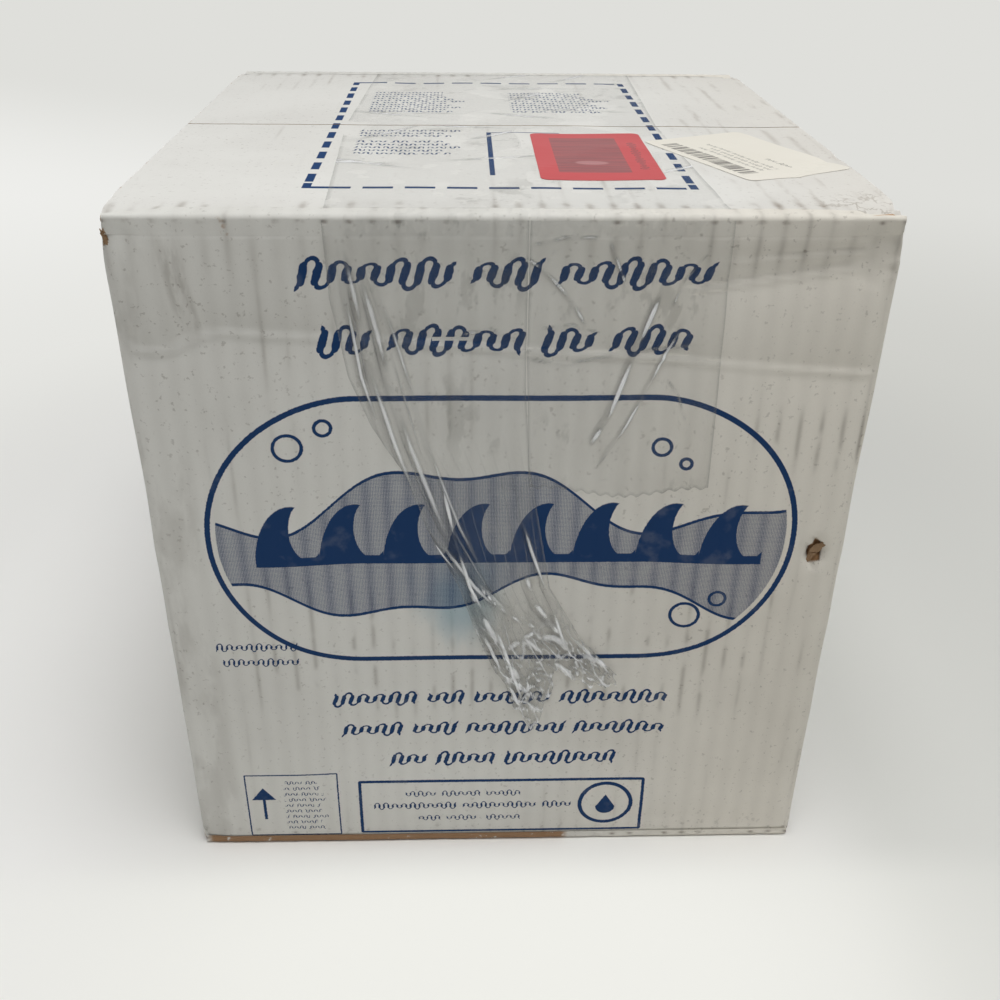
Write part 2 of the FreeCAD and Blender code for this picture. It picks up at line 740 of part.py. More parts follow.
def make_base():
    body = blower(turned("blower_base", [
        (pipe_bore, s.socket_lift),
        (pipe_bore + s.socket_wall, s.socket_lift),
        (pipe_bore + s.socket_wall, s.foot_height),
        (base_radius, s.foot_height),
        (rim_radius, rim - s.flange_thickness),
        (flange_radius, rim - s.flange_thickness),
        (flange_radius, rim),
        (rim_radius - s.shell_wall, rim),
        (rim_radius - s.shell_wall, rim - s.flange_thickness),
        (base_radius - s.shell_wall, s.foot_height + s.shell_wall),
        (pipe_bore + s.socket_wall, s.foot_height + s.shell_wall),
        (pipe_bore + s.socket_wall, s.socket_rise),
        (pipe_bore, s.socket_rise)]))
    foot = new_sketch(body)
    circle(foot, s.foot_radius, foot_circle, 0)
    solid = pad(body, foot, s.foot_height + s.shell_wall / 2)
    around(body, solid, 4)
    add_lugs(body, rim - s.flange_thickness, s.flange_thickness)


def make_cover():
    skirt_top = rim + s.cover_skirt
    shoulder = skirt_top + cover_dome / 2
    crown = skirt_top + cover_dome
    shoulder_radius = (flange_radius + s.dome_flat_radius * 2) / 2
    wall = s.shell_wall
    body = blower(turned("blower_cover", [
        (0, crown), (s.dome_flat_radius, crown),
        (s.dome_flat_radius + wall, crown - wall * 2),
        (shoulder_radius, shoulder + wall),
        (flange_radius, skirt_top - wall), (flange_radius, rim), (cover_inner, rim),
        (cover_inner, skirt_top - wall * 2),
        (shoulder_radius - wall, shoulder - wall / 2),
        (s.dome_flat_radius, crown - wall * 3),
        (s.dome_flat_radius - wall, crown - wall), (0, crown - wall)]))
    round_edges(body, cover_dome / 4,
                circle_at(flange_radius, skirt_top - wall))
    rib = new_sketch(body, "XZ_Plane")
    rib_low = rim + s.lug_thickness
    rib_high = skirt_top - cover_dome / 4
    outline(rib, [(cover_inner + wall / 3, rib_low), (flange_radius + s.rib_depth, rib_low),
                  (flange_radius + s.rib_depth, rib_high - s.rib_depth * 3),
                  (cover_inner + wall / 3, rib_high)])
    solid = pad(body, rib, s.rib_width, both=True)
    around(body, solid, s.rib_count)
    slot = new_sketch(body, "YZ_Plane")
    rectangle(slot, s.louvre_width, s.louvre_height, 0,
              rim + s.louvre_low + s.louvre_height / 2)
    cut = pocket(body, slot, flange_radius * 2, back=True)
    around(body, cut, s.louvre_count)
    add_lugs(body, rim, s.lug_thickness)


def make_cover_screws():
    for number in range(4):
        top = rim + s.lug_thickness
        screw = turned(f"cover_screw_{number + 1}", [
            (0, rim - s.flange_thickness), (s.screw_radius, rim - s.flange_thickness),
            (s.screw_radius, top), (s.screw_head_radius, top),
            (s.screw_head_radius - 1, top + s.screw_head), (0, top + s.screw_head)])
        angle = s.lug_angle + 90 * number
        x = lug_circle * cosine(angle)
        y = lug_circle * sine(angle) - blower_forward
        place(screw, x, y, pad_top)


# Plates, seal and silencer between the cover and the base
def make_housing_inside():
    blower(turned("motor_deck", [
        (s.deck_hole, rim), (deck_radius, rim), (deck_radius, deck_top),
        (s.deck_hole, deck_top)]))
    blower(turned("motor_gasket", [
        (s.deck_hole + s.gasket_lap, deck_top), (s.fan_radius, deck_top),
        (s.fan_radius, motor_plate), (s.deck_hole + s.gasket_lap, motor_plate)]))
    foam_outer = cover_inner - s.shell_wall
    blower(turned("intake_foam", [
        (foam_outer - s.foam_thickness, deck_top), (foam_outer, deck_top),
        (foam_outer, deck_top + s.foam_height),
        (foam_outer - s.foam_thickness, deck_top + s.foam_height)]))


# Terminal box on the base, towards the carton's front left corner
def make_wiring():
    low = rim - s.wiring_height - s.flange_thickness
    near = rim_radius + s.shell_wall / 3
    far = near + s.wiring_depth
    shell = blower(new_body("terminal_box"))
    sketch = new_sketch(shell, lift=low)
    side = s.wiring_width / 2
    bevel = s.wiring_wall
    outline(sketch, [(-side, near), (side, near), (side, far - bevel), (side - bevel, far),
                     (bevel - side, far), (-side, far - bevel)])
    pad(shell, sketch, s.wiring_height - s.pack_gap)
    hollow = new_sketch(shell, "XZ_Plane", lift=-far)
    inner_width = s.wiring_width - 4 * s.wiring_wall
    inner_height = s.wiring_height - 2 * s.wiring_wall
    rectangle(hollow, inner_width, inner_height, 0, low + s.wiring_height / 2)
    pocket(shell, hollow, s.wiring_depth - s.wiring_wall, back=True)
    entry = new_sketch(shell, lift=low)
    circle(entry, s.knockout_radius - s.wiring_wall, 0, near + s.wiring_depth / 2)
    pocket(shell, entry, s.wiring_wall, back=True)
    lid = blower(new_body("terminal_lid"))
    face = new_sketch(lid, "XZ_Plane", lift=-far - s.wiring_wall)
    rectangle(face, s.wiring_width, s.wiring_height - s.pack_gap, 0,
              low + s.wiring_height / 2)
    pad(lid, face, s.wiring_wall)
    plug = blower(new_body("conduit_plug"))
    disc = new_sketch(plug, lift=low - s.wiring_wall)
    circle(disc, s.knockout_radius - s.pack_gap, 0, near + s.wiring_depth / 2)
    pad(plug, disc, s.wiring_wall)
    stem = new_sketch(plug, lift=low)
    circle(stem, s.knockout_radius - s.wiring_wall - s.pack_gap, 0,
           near + s.wiring_depth / 2)
    pad(plug, stem, s.wiring_wall)
    return shell, lid, plug


# A sector of a ring between two angles and two levels
def sector(inner, outer, first, last, low, high):
    height = float(high) - float(low)
    angle = float(last) - float(first)
    ring = Part.makeCylinder(float(outer), height, vector(0, 0, low), vector(0, 0, 1), angle)
    hole = Part.makeCylinder(float(inner), height, vector(0, 0, low), vector(0, 0, 1))
    piece = ring.cut(hole)
    piece.rotate(vector(), vector(0, 0, 1), float(first))
    return piece


def shaped(label, shape):
    item = keep(doc.addObject("Part::Feature", label), label)
    item.Shape = shape.removeSplitter()
    return blower(item)


def turned_shape(points):
    corners = [vector(radius, 0, level) for radius, level in points]
    face = Part.Face(Part.makePolygon(corners + corners[:1]))
    return face.revolve(vector(), vector(0, 0, 1), 360)


# One vane as seen from above: two arcs that lean back from the root to the tip
def vane(root, tip, sweep, thickness, low, height):
    middle = (float(root) + float(tip)) / 2
    bend = math.radians(float(sweep))

    def at(radius, share, side):
        angle = -bend * share
        across = side * float(thickness) / 2
        return vector(radius * math.cos(angle) - across * math.sin(angle),
                      radius * math.sin(angle) + across * math.cos(angle), low)

    rising = Part.Arc(at(float(root), 0, -1), at(middle, 0.38, -1),
                      at(float(tip), 1, -1)).toShape()
    falling = Part.Arc(at(float(tip), 1, 1), at(middle, 0.38, 1),
                       at(float(root), 0, 1)).toShape()
    ends = [Part.makeLine(at(float(tip), 1, -1), at(float(tip), 1, 1)),
            Part.makeLine(at(float(root), 0, 1), at(float(root), 0, -1))]
    wire = Part.Wire([rising, ends[0], falling, ends[1]])
    return Part.Face(wire).extrude(vector(0, 0, height))


def vane_ring(count, root, tip, sweep, low, height):
    copies = []
    for number in range(round(float(count))):
        copy = vane(root, tip, sweep, s.impeller_sheet, low, height)
        copy.rotate(vector(), vector(0, 0, 1), 360 * number / float(count))
        copies.append(copy)
    return copies


impeller_radius = s.fan_radius - s.fan_clearance


# Impeller with a hub, back plate, curved vanes and a front plate round the eye
def make_impeller(label, low):
    sheet_in = s.impeller_sheet
    vane_low = low + sheet_in
    vane_top = vane_low + s.vane_height
    back = turned_shape([
        (s.shaft_radius, low - sheet_in), (s.hub_radius, low - sheet_in),
        (s.hub_radius, low), (impeller_radius, low), (impeller_radius, vane_low),
        (s.hub_radius, vane_low), (s.hub_radius, low - sheet_in + s.hub_height),
        (s.shaft_radius, low - sheet_in + s.hub_height)])
    front = turned_shape([
        (s.impeller_eye, vane_top), (impeller_radius, vane_top),
        (impeller_radius, vane_top + sheet_in), (s.impeller_eye, vane_top + sheet_in)])
    vanes = vane_ring(s.vane_count, s.impeller_eye + sheet_in, impeller_radius - sheet_in,
                      s.vane_angle, vane_low - sheet_in / 2, s.vane_height + sheet_in)
    shaped(label, back.fuse([front] + vanes))


first_stage = fan_floor + s.first_stage_rise
second_stage = fan_floor + s.second_stage_rise
second_top = second_stage + 2 * s.impeller_sheet + s.vane_height
return_low = second_top + s.stage_gap
return_top = return_low + 2 * s.impeller_sheet + s.return_vane_height
nut_low = first_stage - s.impeller_sheet + s.hub_height


# Fixed plates and return vanes that lead the air from the upper to the lower impeller
def make_diffuser():
    outer = s.fan_radius - s.fan_sheet - s.pack_gap
    sheet_in = s.impeller_sheet
    lower = turned_shape([
        (s.impeller_eye, return_low), (outer - s.fan_clearance, return_low),
        (outer - s.fan_clearance, return_low + sheet_in),
        (s.impeller_eye, return_low + sheet_in)])
    upper = turned_shape([
        (s.hub_radius + s.stage_gap, return_top - sheet_in), (outer, return_top - sheet_in),
        (outer, return_top), (s.hub_radius + s.stage_gap, return_top)])
    vanes = vane_ring(s.return_vane_count, s.impeller_eye + s.stage_gap,
                      outer - s.fan_clearance - sheet_in, s.vane_angle,
                      return_low + sheet_in / 2, s.return_vane_height + sheet_in)
    shaped("stage_diffuser", lower.fuse([upper] + vanes))


def make_fan():
    inner = s.fan_radius - s.fan_sheet
    blower(turned("fan_housing", [
        (inner, motor_plate), (s.fan_radius, motor_plate), (s.fan_radius, fan_top),
        (s.fan_eye, fan_top), (s.fan_eye, fan_top - s.fan_sheet),
        (inner, fan_top - s.fan_sheet)]))
    make_impeller("lower_impeller", second_stage)
    make_impeller("upper_impeller", first_stage)
    make_diffuser()
    blower(turned("impeller_spacer", [
        (s.shaft_radius, second_stage - s.impeller_sheet + s.hub_height),
        (s.hub_radius - s.impeller_sheet, second_stage - s.impeller_sheet + s.hub_height),
        (s.hub_radius - s.impeller_sheet, first_stage - s.impeller_sheet),
        (s.shaft_radius, first_stage - s.impeller_sheet)]))
    blower(turned("motor_shaft", [
        (0, lower_bearing_low), (s.shaft_radius, lower_bearing_low),
        (s.shaft_radius, nut_low + s.nut_height + 1), (0, nut_low + s.nut_height + 1)]))
    nut = blower(new_body("shaft_nut"))
    hexagon = new_sketch(nut, lift=nut_low)
    corner = s.nut_width / 2 / cosine(dim(30))
    points = []
    for number in range(6):
        angle = dim(60 * number)
        points.append((corner * cosine(angle), corner * sine(angle)))
    outline(hexagon, points)
    circle(hexagon, s.shaft_radius)
    pad(nut, hexagon, s.nut_height)


# Motor plate with its boss and legs, over the field laminations
def make_upper_bracket():
    inner = s.fan_radius - s.fan_sheet - s.pack_gap
    boss_low = motor_plate - s.boss_height
    seat = boss_low + s.bearing_height
    body = blower(turned("upper_bracket", [
        (s.bearing_radius, boss_low), (s.boss_radius, boss_low),
        (s.boss_radius, motor_plate), (inner, motor_plate), (inner, fan_floor),
        (s.shaft_radius + s.stage_gap, fan_floor), (s.shaft_radius + s.stage_gap, seat),
        (s.bearing_radius, seat)]))
    leg = new_sketch(body, lift=core_top)
    rectangle(leg, s.leg_depth, s.leg_width, s.core_radius - s.leg_depth / 2, 0)
    solid = pad(body, leg, motor_plate - core_top + s.plate_thickness / 2)
    around(body, solid, 4)
    window = new_sketch(body, lift=motor_plate)
    middle = (s.boss_radius + s.core_radius) / 2
    circle(window, (s.core_radius - s.boss_radius) / 2 - s.stage_gap,
           middle * cosine(dim(45)), middle * sine(dim(45)))
    cut = pocket(body, window, s.plate_thickness, back=True)
    around(body, cut, 4)
    bearing("upper_bearing", boss_low)


def bearing(label, low):
    blower(turned(label, [
        (s.shaft_radius + s.shaft_play, low), (s.bearing_radius, low),
        (s.bearing_radius, low + s.bearing_height),
        (s.shaft_radius + s.shaft_play, low + s.bearing_height)]))


# Lower bearing boss on four arms that reach up to the field laminations
def make_lower_bracket():
    arm_low = lower_bearing_low
    body = blower(turned("lower_bracket", [
        (s.bearing_radius, arm_low), (s.boss_radius, arm_low),
        (s.boss_radius, lower_bearing_top), (s.bearing_radius, lower_bearing_top)]))
    arm = new_sketch(body, lift=arm_low)
    inner = (s.bearing_radius + s.boss_radius) / 2
    reach = s.core_radius - inner
    rectangle(arm, reach, s.leg_width, inner + reach / 2, 0)
    solid = pad(body, arm, s.leg_depth)
    around(body, solid, 4)
    leg = new_sketch(body, lift=arm_low)
    rectangle(leg, s.leg_depth, s.leg_width, s.core_radius - s.leg_depth / 2, 0)
    solid = pad(body, leg, core_low - arm_low)
    around(body, solid, 4)
    bearing("lower_bearing", lower_bearing_low)


# Field laminations with four slots for the sides of the two coils
def make_field():
    core = turned_shape([
        (s.armature_radius + s.air_gap, core_low), (s.core_radius, core_low),
        (s.core_radius, core_top), (s.armature_radius + s.air_gap, core_top)])
    end_low = core_low - s.coil_end
    end_top = core_top + s.coil_end
    inner_edge = s.coil_half_angle - s.coil_side_angle
    for side in (0, 180):
        for sign in (-1, 1):
            middle = side + sign * (float(s.coil_half_angle) - float(s.coil_side_angle) / 2)
            half = float(s.coil_side_angle) / 2 + 1
            slot = sector(s.coil_inner - s.coil_gap, s.coil_outer + s.coil_gap,
                          middle - half, middle + half, core_low, core_top)
            core = core.cut(slot)
    shaped("field_laminations", core)
    for number, side in enumerate((0, 180), 1):
        whole = sector(s.coil_inner, s.coil_outer, side - float(s.coil_half_angle),
                       side + float(s.coil_half_angle), end_low, end_top)
        window = sector(s.coil_inner - 1, s.coil_outer + 1, side - float(inner_edge),
                        side + float(inner_edge), core_low - s.coil_gap,
                        core_top + s.coil_gap)
        shaped(f"field_coil_{number}", whole.cut(window))


def make_armature():
    core = blower(turned("armature_laminations", [
        (s.shaft_radius, core_low), (s.armature_radius, core_low),
        (s.armature_radius, core_top), (s.shaft_radius, core_top)]))
    slot = new_sketch(core, lift=core_low)
    rectangle(slot, s.slot_depth + s.air_gap, s.slot_width,
              s.armature_radius - (s.slot_depth - s.air_gap) / 2, 0)
    cut = pocket(core, slot, s.core_height, back=True)
    around(core, cut, s.armature_slots)
    winding = blower(turned("armature_winding", [
        (s.shaft_radius, core_top), (s.armature_radius - s.air_gap, core_top),
        (s.armature_radius - s.air_gap * 4, core_top + s.coil_end - s.stage_gap),
        (s.shaft_radius, core_top + s.coil_end - s.stage_gap)]))
    rod = new_sketch(winding, lift=core_low - s.coil_end / 2)
    rectangle(rod, s.slot_depth - s.air_gap * 2, s.slot_width,
              s.armature_radius - s.slot_depth / 2 - s.air_gap, 0)
    solid = pad(winding, rod, s.core_height + s.coil_end)
    around(winding, solid, s.armature_slots)
    tail = new_sketch(winding, lift=core_low - s.coil_end)
    circle(tail, s.armature_radius - s.air_gap * 4)
    circle(tail, s.shaft_radius)
    pad(winding, tail, s.coil_end)
    blower(turned("commutator", [
        (s.shaft_radius, commutator_low), (s.commutator_radius, commutator_low),
        (s.commutator_radius, commutator_top),
        (s.commutator_radius - s.stage_gap, core_low - s.coil_end),
        (s.shaft_radius, core_low - s.coil_end)]))


# Carbon brushes in their holders, which stand on two arms of the lower bracket
def make_brushes():
    level = commutator_low + (s.commutator_height - s.brush_width) / 2
    holder_low = lower_bearing_low + s.leg_depth
    start = s.commutator_radius + s.brush_gap
    for number, sign in enumerate((-1, 1), 1):
        brush = blower(new_body(f"carbon_brush_{number}"))
        sketch = new_sketch(brush, lift=level)
        rectangle(sketch, s.brush_length, s.brush_width,
                  sign * (start + s.brush_length / 2), 0)
        pad(brush, sketch, s.brush_width)
        holder = blower(new_body(f"brush_holder_{number}"))
        block = new_sketch(holder, lift=holder_low)
        inner = start + s.holder_wall
        outer = s.core_radius - s.leg_depth
        rectangle(block, outer - inner, s.brush_width + 2 * s.holder_wall,
                  sign * (inner + outer) / 2, 0)
        pad(holder, block, level + s.brush_width + s.holder_wall - holder_low)
        channel = new_sketch(holder, "YZ_Plane")
        rectangle(channel, s.brush_width, s.brush_width, 0, level + s.brush_width / 2)
        pocket(holder, channel, s.core_radius * 2, both=True)


make_sleeve()
make_flaps()
make_films()
make_packing()
make_bracket()
make_valve()
make_base()
make_cover()
make_cover_screws()
make_housing_inside()
wiring = make_wiring()
make_fan()
make_upper_bracket()
make_lower_bracket()
make_field()
make_armature()
make_brushes()
for part in blower_parts:
    place(part, 0, -blower_forward, pad_top)
for part in wiring:
    place(part, 0, -blower_forward, pad_top, s.wiring_angle)
doc.recompute()

failed = []
for item in doc.Objects:
    if "Invalid" in item.State or "Error" in item.State:
        failed.append(item.Label)
for item in nodes:
    if item.Shape.isNull() or not item.Shape.isValid():
        failed.append(item.Label)
if failed:
    raise ValueError("These did not build: " + ", ".join(failed))
for item in nodes:
    item.Shape.exportStep(f"parts/{item.Label}.step")
print(len(nodes), "parts written")
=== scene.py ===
# %% [markdown]
# # A blower carton, closed with tape
# The object is a white lined corrugated carton. Its walls are slightly dented, its lid is
# held by two strips of clear film, and a blower, a check valve and a bracket lie inside.
# The imported CAD model gives the frame: every piece below sits where the CAD says, and most
# of them ride on one of its bodies, so the lid still opens; the strips over the upper folds
# ride on none. All drawing is done in millimetres here and turned into metres when a mesh is
# written.

# %% Load the frame
import bmesh
import bpy
import math
import numpy as np
from mathutils import Matrix, Vector


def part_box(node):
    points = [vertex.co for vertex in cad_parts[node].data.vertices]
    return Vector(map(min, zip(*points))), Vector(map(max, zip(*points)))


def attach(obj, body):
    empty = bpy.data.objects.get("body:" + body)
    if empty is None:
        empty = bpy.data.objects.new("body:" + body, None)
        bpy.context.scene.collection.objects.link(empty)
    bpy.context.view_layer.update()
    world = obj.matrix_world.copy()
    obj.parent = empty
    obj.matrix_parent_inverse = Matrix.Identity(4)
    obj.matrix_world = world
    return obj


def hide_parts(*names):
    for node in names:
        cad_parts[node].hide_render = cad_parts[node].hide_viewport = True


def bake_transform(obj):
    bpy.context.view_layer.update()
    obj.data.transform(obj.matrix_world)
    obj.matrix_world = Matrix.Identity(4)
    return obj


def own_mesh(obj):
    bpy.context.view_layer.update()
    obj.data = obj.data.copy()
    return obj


WIDTH, DEPTH, TOP, BOARD = 285, 300, 305, 4  # the closed carton and its board, mm
DUST_LEVEL = 298.7  # middle of the dust flaps under the lid

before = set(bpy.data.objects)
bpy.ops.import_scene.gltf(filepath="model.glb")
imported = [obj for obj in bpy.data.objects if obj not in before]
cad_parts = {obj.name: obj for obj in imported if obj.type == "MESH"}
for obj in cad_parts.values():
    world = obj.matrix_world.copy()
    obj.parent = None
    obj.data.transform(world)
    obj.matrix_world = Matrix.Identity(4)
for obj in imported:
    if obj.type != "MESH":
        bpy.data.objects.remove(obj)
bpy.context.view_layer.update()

# %% [markdown]
# ## Camera
# The photograph was taken from about half a metre, a little above the lid, looking down by
# thirty degrees. A camera fitted to the four corners of the printed front gives these
# numbers. The matrix is built from its right, up and backward directions.

# %% Camera
yaw, pitch, roll = (math.radians(angle) for angle in (2.081, 30.187, 0.749))
forward = Vector((math.sin(yaw) * math.cos(pitch), math.cos(yaw) * math.cos(pitch),
                  -math.sin(pitch)))
level = Vector((math.cos(yaw), -math.sin(yaw), 0))
upward = level.cross(forward)
right = level * math.cos(roll) + upward * math.sin(roll)
over = upward * math.cos(roll) - level * math.sin(roll)
camera = bpy.data.objects.new("camera", bpy.data.cameras.new("camera"))
bpy.context.scene.collection.objects.link(camera)
turn = Matrix((right, over, -forward)).transposed()
camera.matrix_world = Matrix.Translation((-0.0151, -0.5247, 0.4091)) @ turn.to_4x4()
camera.data.sensor_width = 36
camera.data.lens = 39.23
bpy.context.scene.camera = camera
print("camera at", [round(number, 3) for number in camera.location])

# %% [markdown]
# ## Tools for modelling
# A window isn't open, so faces can't be clicked. These helpers do what the mouse would do:
# they choose faces by their place or direction, and they hand over all points of a mesh as
# a table in millimetres, so that a dent can be pressed in as a sculptor would.

# %% Choosing and moving
def fresh(operator, name, **settings):
    if bpy.context.object and bpy.context.object.mode == "EDIT":
        bpy.ops.object.mode_set(mode="OBJECT")
    bpy.ops.object.select_all(action="DESELECT")
    operator(**settings)
    part = bpy.context.object
    part.name = part.data.name = name
    return part


def choose(test):
    mesh = bmesh.from_edit_mesh(bpy.context.object.data)
    for face in mesh.faces:
        chosen = test(face.calc_center_median() * 1000, face.normal)
        face.select_set(bool(chosen))
    mesh.select_flush_mode()
    bmesh.update_edit_mesh(bpy.context.object.data)


def choose_edges(test):
    bpy.ops.mesh.select_mode(type="EDGE")
    mesh = bmesh.from_edit_mesh(bpy.context.object.data)
    for edge in mesh.edges:
        first, last = (end.co * 1000 for end in edge.verts)
        edge.select_set(bool(test(first, last)))
    mesh.select_flush_mode()
    bmesh.update_edit_mesh(bpy.context.object.data)


def cut(axis, places):
    normal = [0, 0, 0]
    normal[axis] = 1
    for place in places:
        point = [0, 0, 0]
        point[axis] = place / 1000
        bpy.ops.mesh.select_all(action="SELECT")
        bpy.ops.mesh.bisect(plane_co=point, plane_no=normal)


def points(part):
    spots = np.empty(len(part.data.vertices) * 3)
    part.data.vertices.foreach_get("co", spots)
    return spots.reshape(-1, 3) * 1000


def set_points(part, spots):
    part.data.vertices.foreach_set("co", (spots / 1000).ravel())
    part.data.update()


def apply(part, kind, **settings):
    bpy.context.view_layer.objects.active = part
    modifier = part.modifiers.new(kind.title(), kind)
    for name, value in settings.items():
        setattr(modifier, name, value)
    bpy.ops.object.modifier_apply(modifier=modifier.name)


def only(part):
    """leaves this one object chosen"""
    bpy.ops.object.select_all(action="DESELECT")
    part.select_set(True)
    bpy.context.view_layer.objects.active = part


def soften(part, angle=40):
    only(part)
    bpy.ops.object.shade_smooth_by_angle(angle=math.radians(angle))


def copied(part, name):
    twin = part.copy()
    twin.data = part.data.copy()
    twin.name = twin.data.name = name
    bpy.context.scene.collection.objects.link(twin)
    return twin


def turned(x, y, degrees):
    angle = math.radians(degrees)
    return (x * math.cos(angle) - y * math.sin(angle),
            x * math.sin(angle) + y * math.cos(angle))


# %% [markdown]
# ## Dents and creases as numbers
# Board that has been pressed doesn't bend like cloth. It keeps a few long creases with
# flat areas between them. Each crease below is a line on the front of the carton, and the
# distance to that line shapes a valley with a thin raised lip. The waves are sums of sines
# with fixed directions, so that each run gives the same carton.

# %% Lines and waves
FLUTE = 8.48  # pitch of the flutes
PUNCTURE = 129.5, 164.5  # middle of the hole in the front


def ease(values):
    values = np.clip(values, 0, 1)
    return values * values * (3 - 2 * values)


def nearest(path, across, up):
    """distance to a line of points, which side it is on, and how far along"""
    best = np.full(across.shape, 1e9)
    side = np.zeros(across.shape)
    along = np.zeros(across.shape)
    steps = len(path) - 1
    for number in range(steps):
        (x0, z0), (x1, z1) = path[number], path[number + 1]
        dx, dz = x1 - x0, z1 - z0
        share = np.clip(((across - x0) * dx + (up - z0) * dz) / (dx * dx + dz * dz), 0, 1)
        gap = np.hypot(across - x0 - share * dx, up - z0 - share * dz)
        closer = gap < best
        side = np.where(closer, np.sign(dx * (up - z0) - dz * (across - x0)), side)
        along = np.where(closer, (number + share) / steps, along)
        best = np.minimum(best, gap)
    return best, side, along


def hill(gap, width):
    """1 where the gap is 0, falling like a bell"""
    return np.exp(-(gap / width) ** 2)


def near(x, y, place, reach):
    """a hill round a place"""
    return hill(np.hypot(x - place[0], y - place[1]), reach)


def ripple(across, up, size, seed):
    """seven sines of like length, each in a direction of its own"""
    total = np.zeros(across.shape)
    dice = np.random.default_rng(seed)
    for number in range(7):
        angle = dice.uniform(0, math.tau)
        length = size * dice.uniform(0.6, 1.5)
        phase = dice.uniform(0, math.tau)
        total += np.sin((across * math.cos(angle) + up * math.sin(angle)) * math.tau / length
                        + phase)
    return total / 4


LONG_CREASE = [(-143, 256), (-124, 255), (-112, 261), (-104, 263), (-90, 261.6),
               (-68, 260), (-9, 255.7), (40, 252.5), (86, 249.6), (143, 245.5)]
SHORT_CREASE = [(-143, 251), (-125, 254), (-111, 261)]
UPPER_CREASE = [(72, 289), (100, 290.5), (143, 294)]
SECOND_CREASE = [(60, 277), (81, 280.5), (143, 289)]
LOWER_CREASE = [(40, 14), (97, 13), (143, 10.5)]


def front_dent(across, up):
    """how far the printed front lies behind its flat plane"""
    calm = ease((96 - np.abs(across)) / 40) * ease((up - 22) / 40) * ease((302 - up) / 22)
    dent = 2.5 * calm + 0.25 * calm * ripple(across, up, 90, 3)
    gap, side, _ = nearest(LONG_CREASE, across, up)
    uneven = 0.75 + 0.35 * ripple(across, up * 0, 70, 12)
    valley = np.where(side > 0, np.exp(-gap / 10), np.exp(-gap / 17))
    dent += uneven * (2.9 * valley - 1.1 * hill(gap * side + 1.8, 1.2))
    gap, _, _ = nearest(SHORT_CREASE, across, up)
    dent += np.exp(-gap / 6) - 0.7 * hill(gap, 1.4)
    for path, depth in ((UPPER_CREASE, 2.2), (SECOND_CREASE, 2.4)):
        gap, side, along = nearest(path, across, up)
        fade = ease(along * 3.0) * ease((1.02 - along) * 9)
        valley = np.where(side > 0, np.exp(-gap / 3.0), np.exp(-gap / 8))
        dent += fade * (depth * valley - hill(gap * side + 1.3, 1.2))
    worn_left = ease((up - 12) / 40) * ease((296 - up) / 30)
    dent += worn_left * 0.12 * np.maximum(-124 + 1.5 * np.sin(up / 23) - across, 0)
    crushed_edge = ease((up - 6) / 14) * ease((288 - up) / 12)
    dent += crushed_edge * 0.4 * np.maximum(across - 134.8 - 0.8 * np.sin(up / 9), 0)
    gap, _, along = nearest(LOWER_CREASE, across, up)
    dent += ease(along * 3) * 0.8 * np.exp(-gap / 3)
    facets = 0.45 + 0.9 * np.abs(ripple(across, up, 11, 11))
    for corner, reach, depth in (((138, 294), 12, 3.4), ((-139, 299), 8, 2.4),
                                 ((-141, 3), 7, 1.5)):
        dent += depth * near(across, up, corner, reach) * facets
    hole = np.hypot((across - PUNCTURE[0]) / 3.4, (up - PUNCTURE[1]) / 6.5)
    dent += 3.2 * ease((1.15 - hole) / 0.35)
    dent *= ease((304.5 - up) / 8) * ease((up + 1) / 5)
    room = np.where(np.abs(across) > 92, 3.5, 5.4)  # less in front of the corner posts
    return np.clip(dent, 0, room)


sample = np.array([0.0, 120.0]), np.array([150.0, 200.0])
print("dent at two spots, mm", front_dent(*sample).round(2))

# %% [markdown]
# ## The sleeve
# The four walls are one loop of board, 4 mm thick. It could be four boxes, but real board
# turns its corners without a gap, so a cube loses its top and bottom, its upright edges are
# bevelled, and planes cut it into a fine grid. The dents are then pressed into the front
# before Solidify gives the wall its thickness. The inner face keeps its plane beside the
# corner posts, where the real board is pressed flat.

# %% The sleeve's outline
sleeve = fresh(bpy.ops.mesh.primitive_cube_add, "sleeve_board", size=1)
sleeve.scale = (WIDTH / 1000, DEPTH / 1000, (TOP - BOARD) / 1000)
sleeve.location = (0, 0, TOP / 2000)
bpy.ops.object.transform_apply(location=True, rotation=False, scale=True)
bpy.ops.object.mode_set(mode="EDIT")
bpy.ops.mesh.select_mode(type="FACE")
choose(lambda spot, normal: abs(normal.z) > 0.9)
bpy.ops.mesh.delete(type="FACE")
choose_edges(lambda first, last: abs(first.z - last.z) > 100)
bpy.ops.mesh.bevel(offset=0.005, segments=4)
bpy.ops.mesh.select_mode(type="FACE")
cut(2, [*np.arange(5, 236, 3.3), *np.arange(237, 302, 1.5), DUST_LEVEL])
cut(0, np.arange(-136.5, 137, 2.8))
cut(1, np.arange(-142.5, 143, 9.5))
choose(lambda spot, normal: spot.z > DUST_LEVEL and abs(spot.x) > 138.4 and abs(spot.y) < 144)
bpy.ops.mesh.delete(type="FACE")
bpy.ops.object.mode_set(mode="OBJECT")
print("sleeve faces", len(sleeve.data.polygons))

# %% Press the dents and give the wall its thickness
spots = points(sleeve)
x, y, z = spots.T  # views, which follow each change below
front = ease((-y - 145) / 5)
spots[:, 1] += front * front_dent(x, z)
corner = np.exp(-((np.abs(x) - 142.5) ** 2 + (z - 303) ** 2) / 120) * (y < -140)
spots[:, 0] -= np.sign(x) * corner * 1.3
middle_part = ease((np.minimum(z, 300 - z)) / 60)
spots[:, 0] -= np.sign(x) * (np.abs(x) > 142) * middle_part * np.abs(0.5 * ripple(y, z, 120, 5))
spots[:, 1] -= (y > 149) * middle_part * np.abs(0.6 * ripple(x, z, 110, 6))
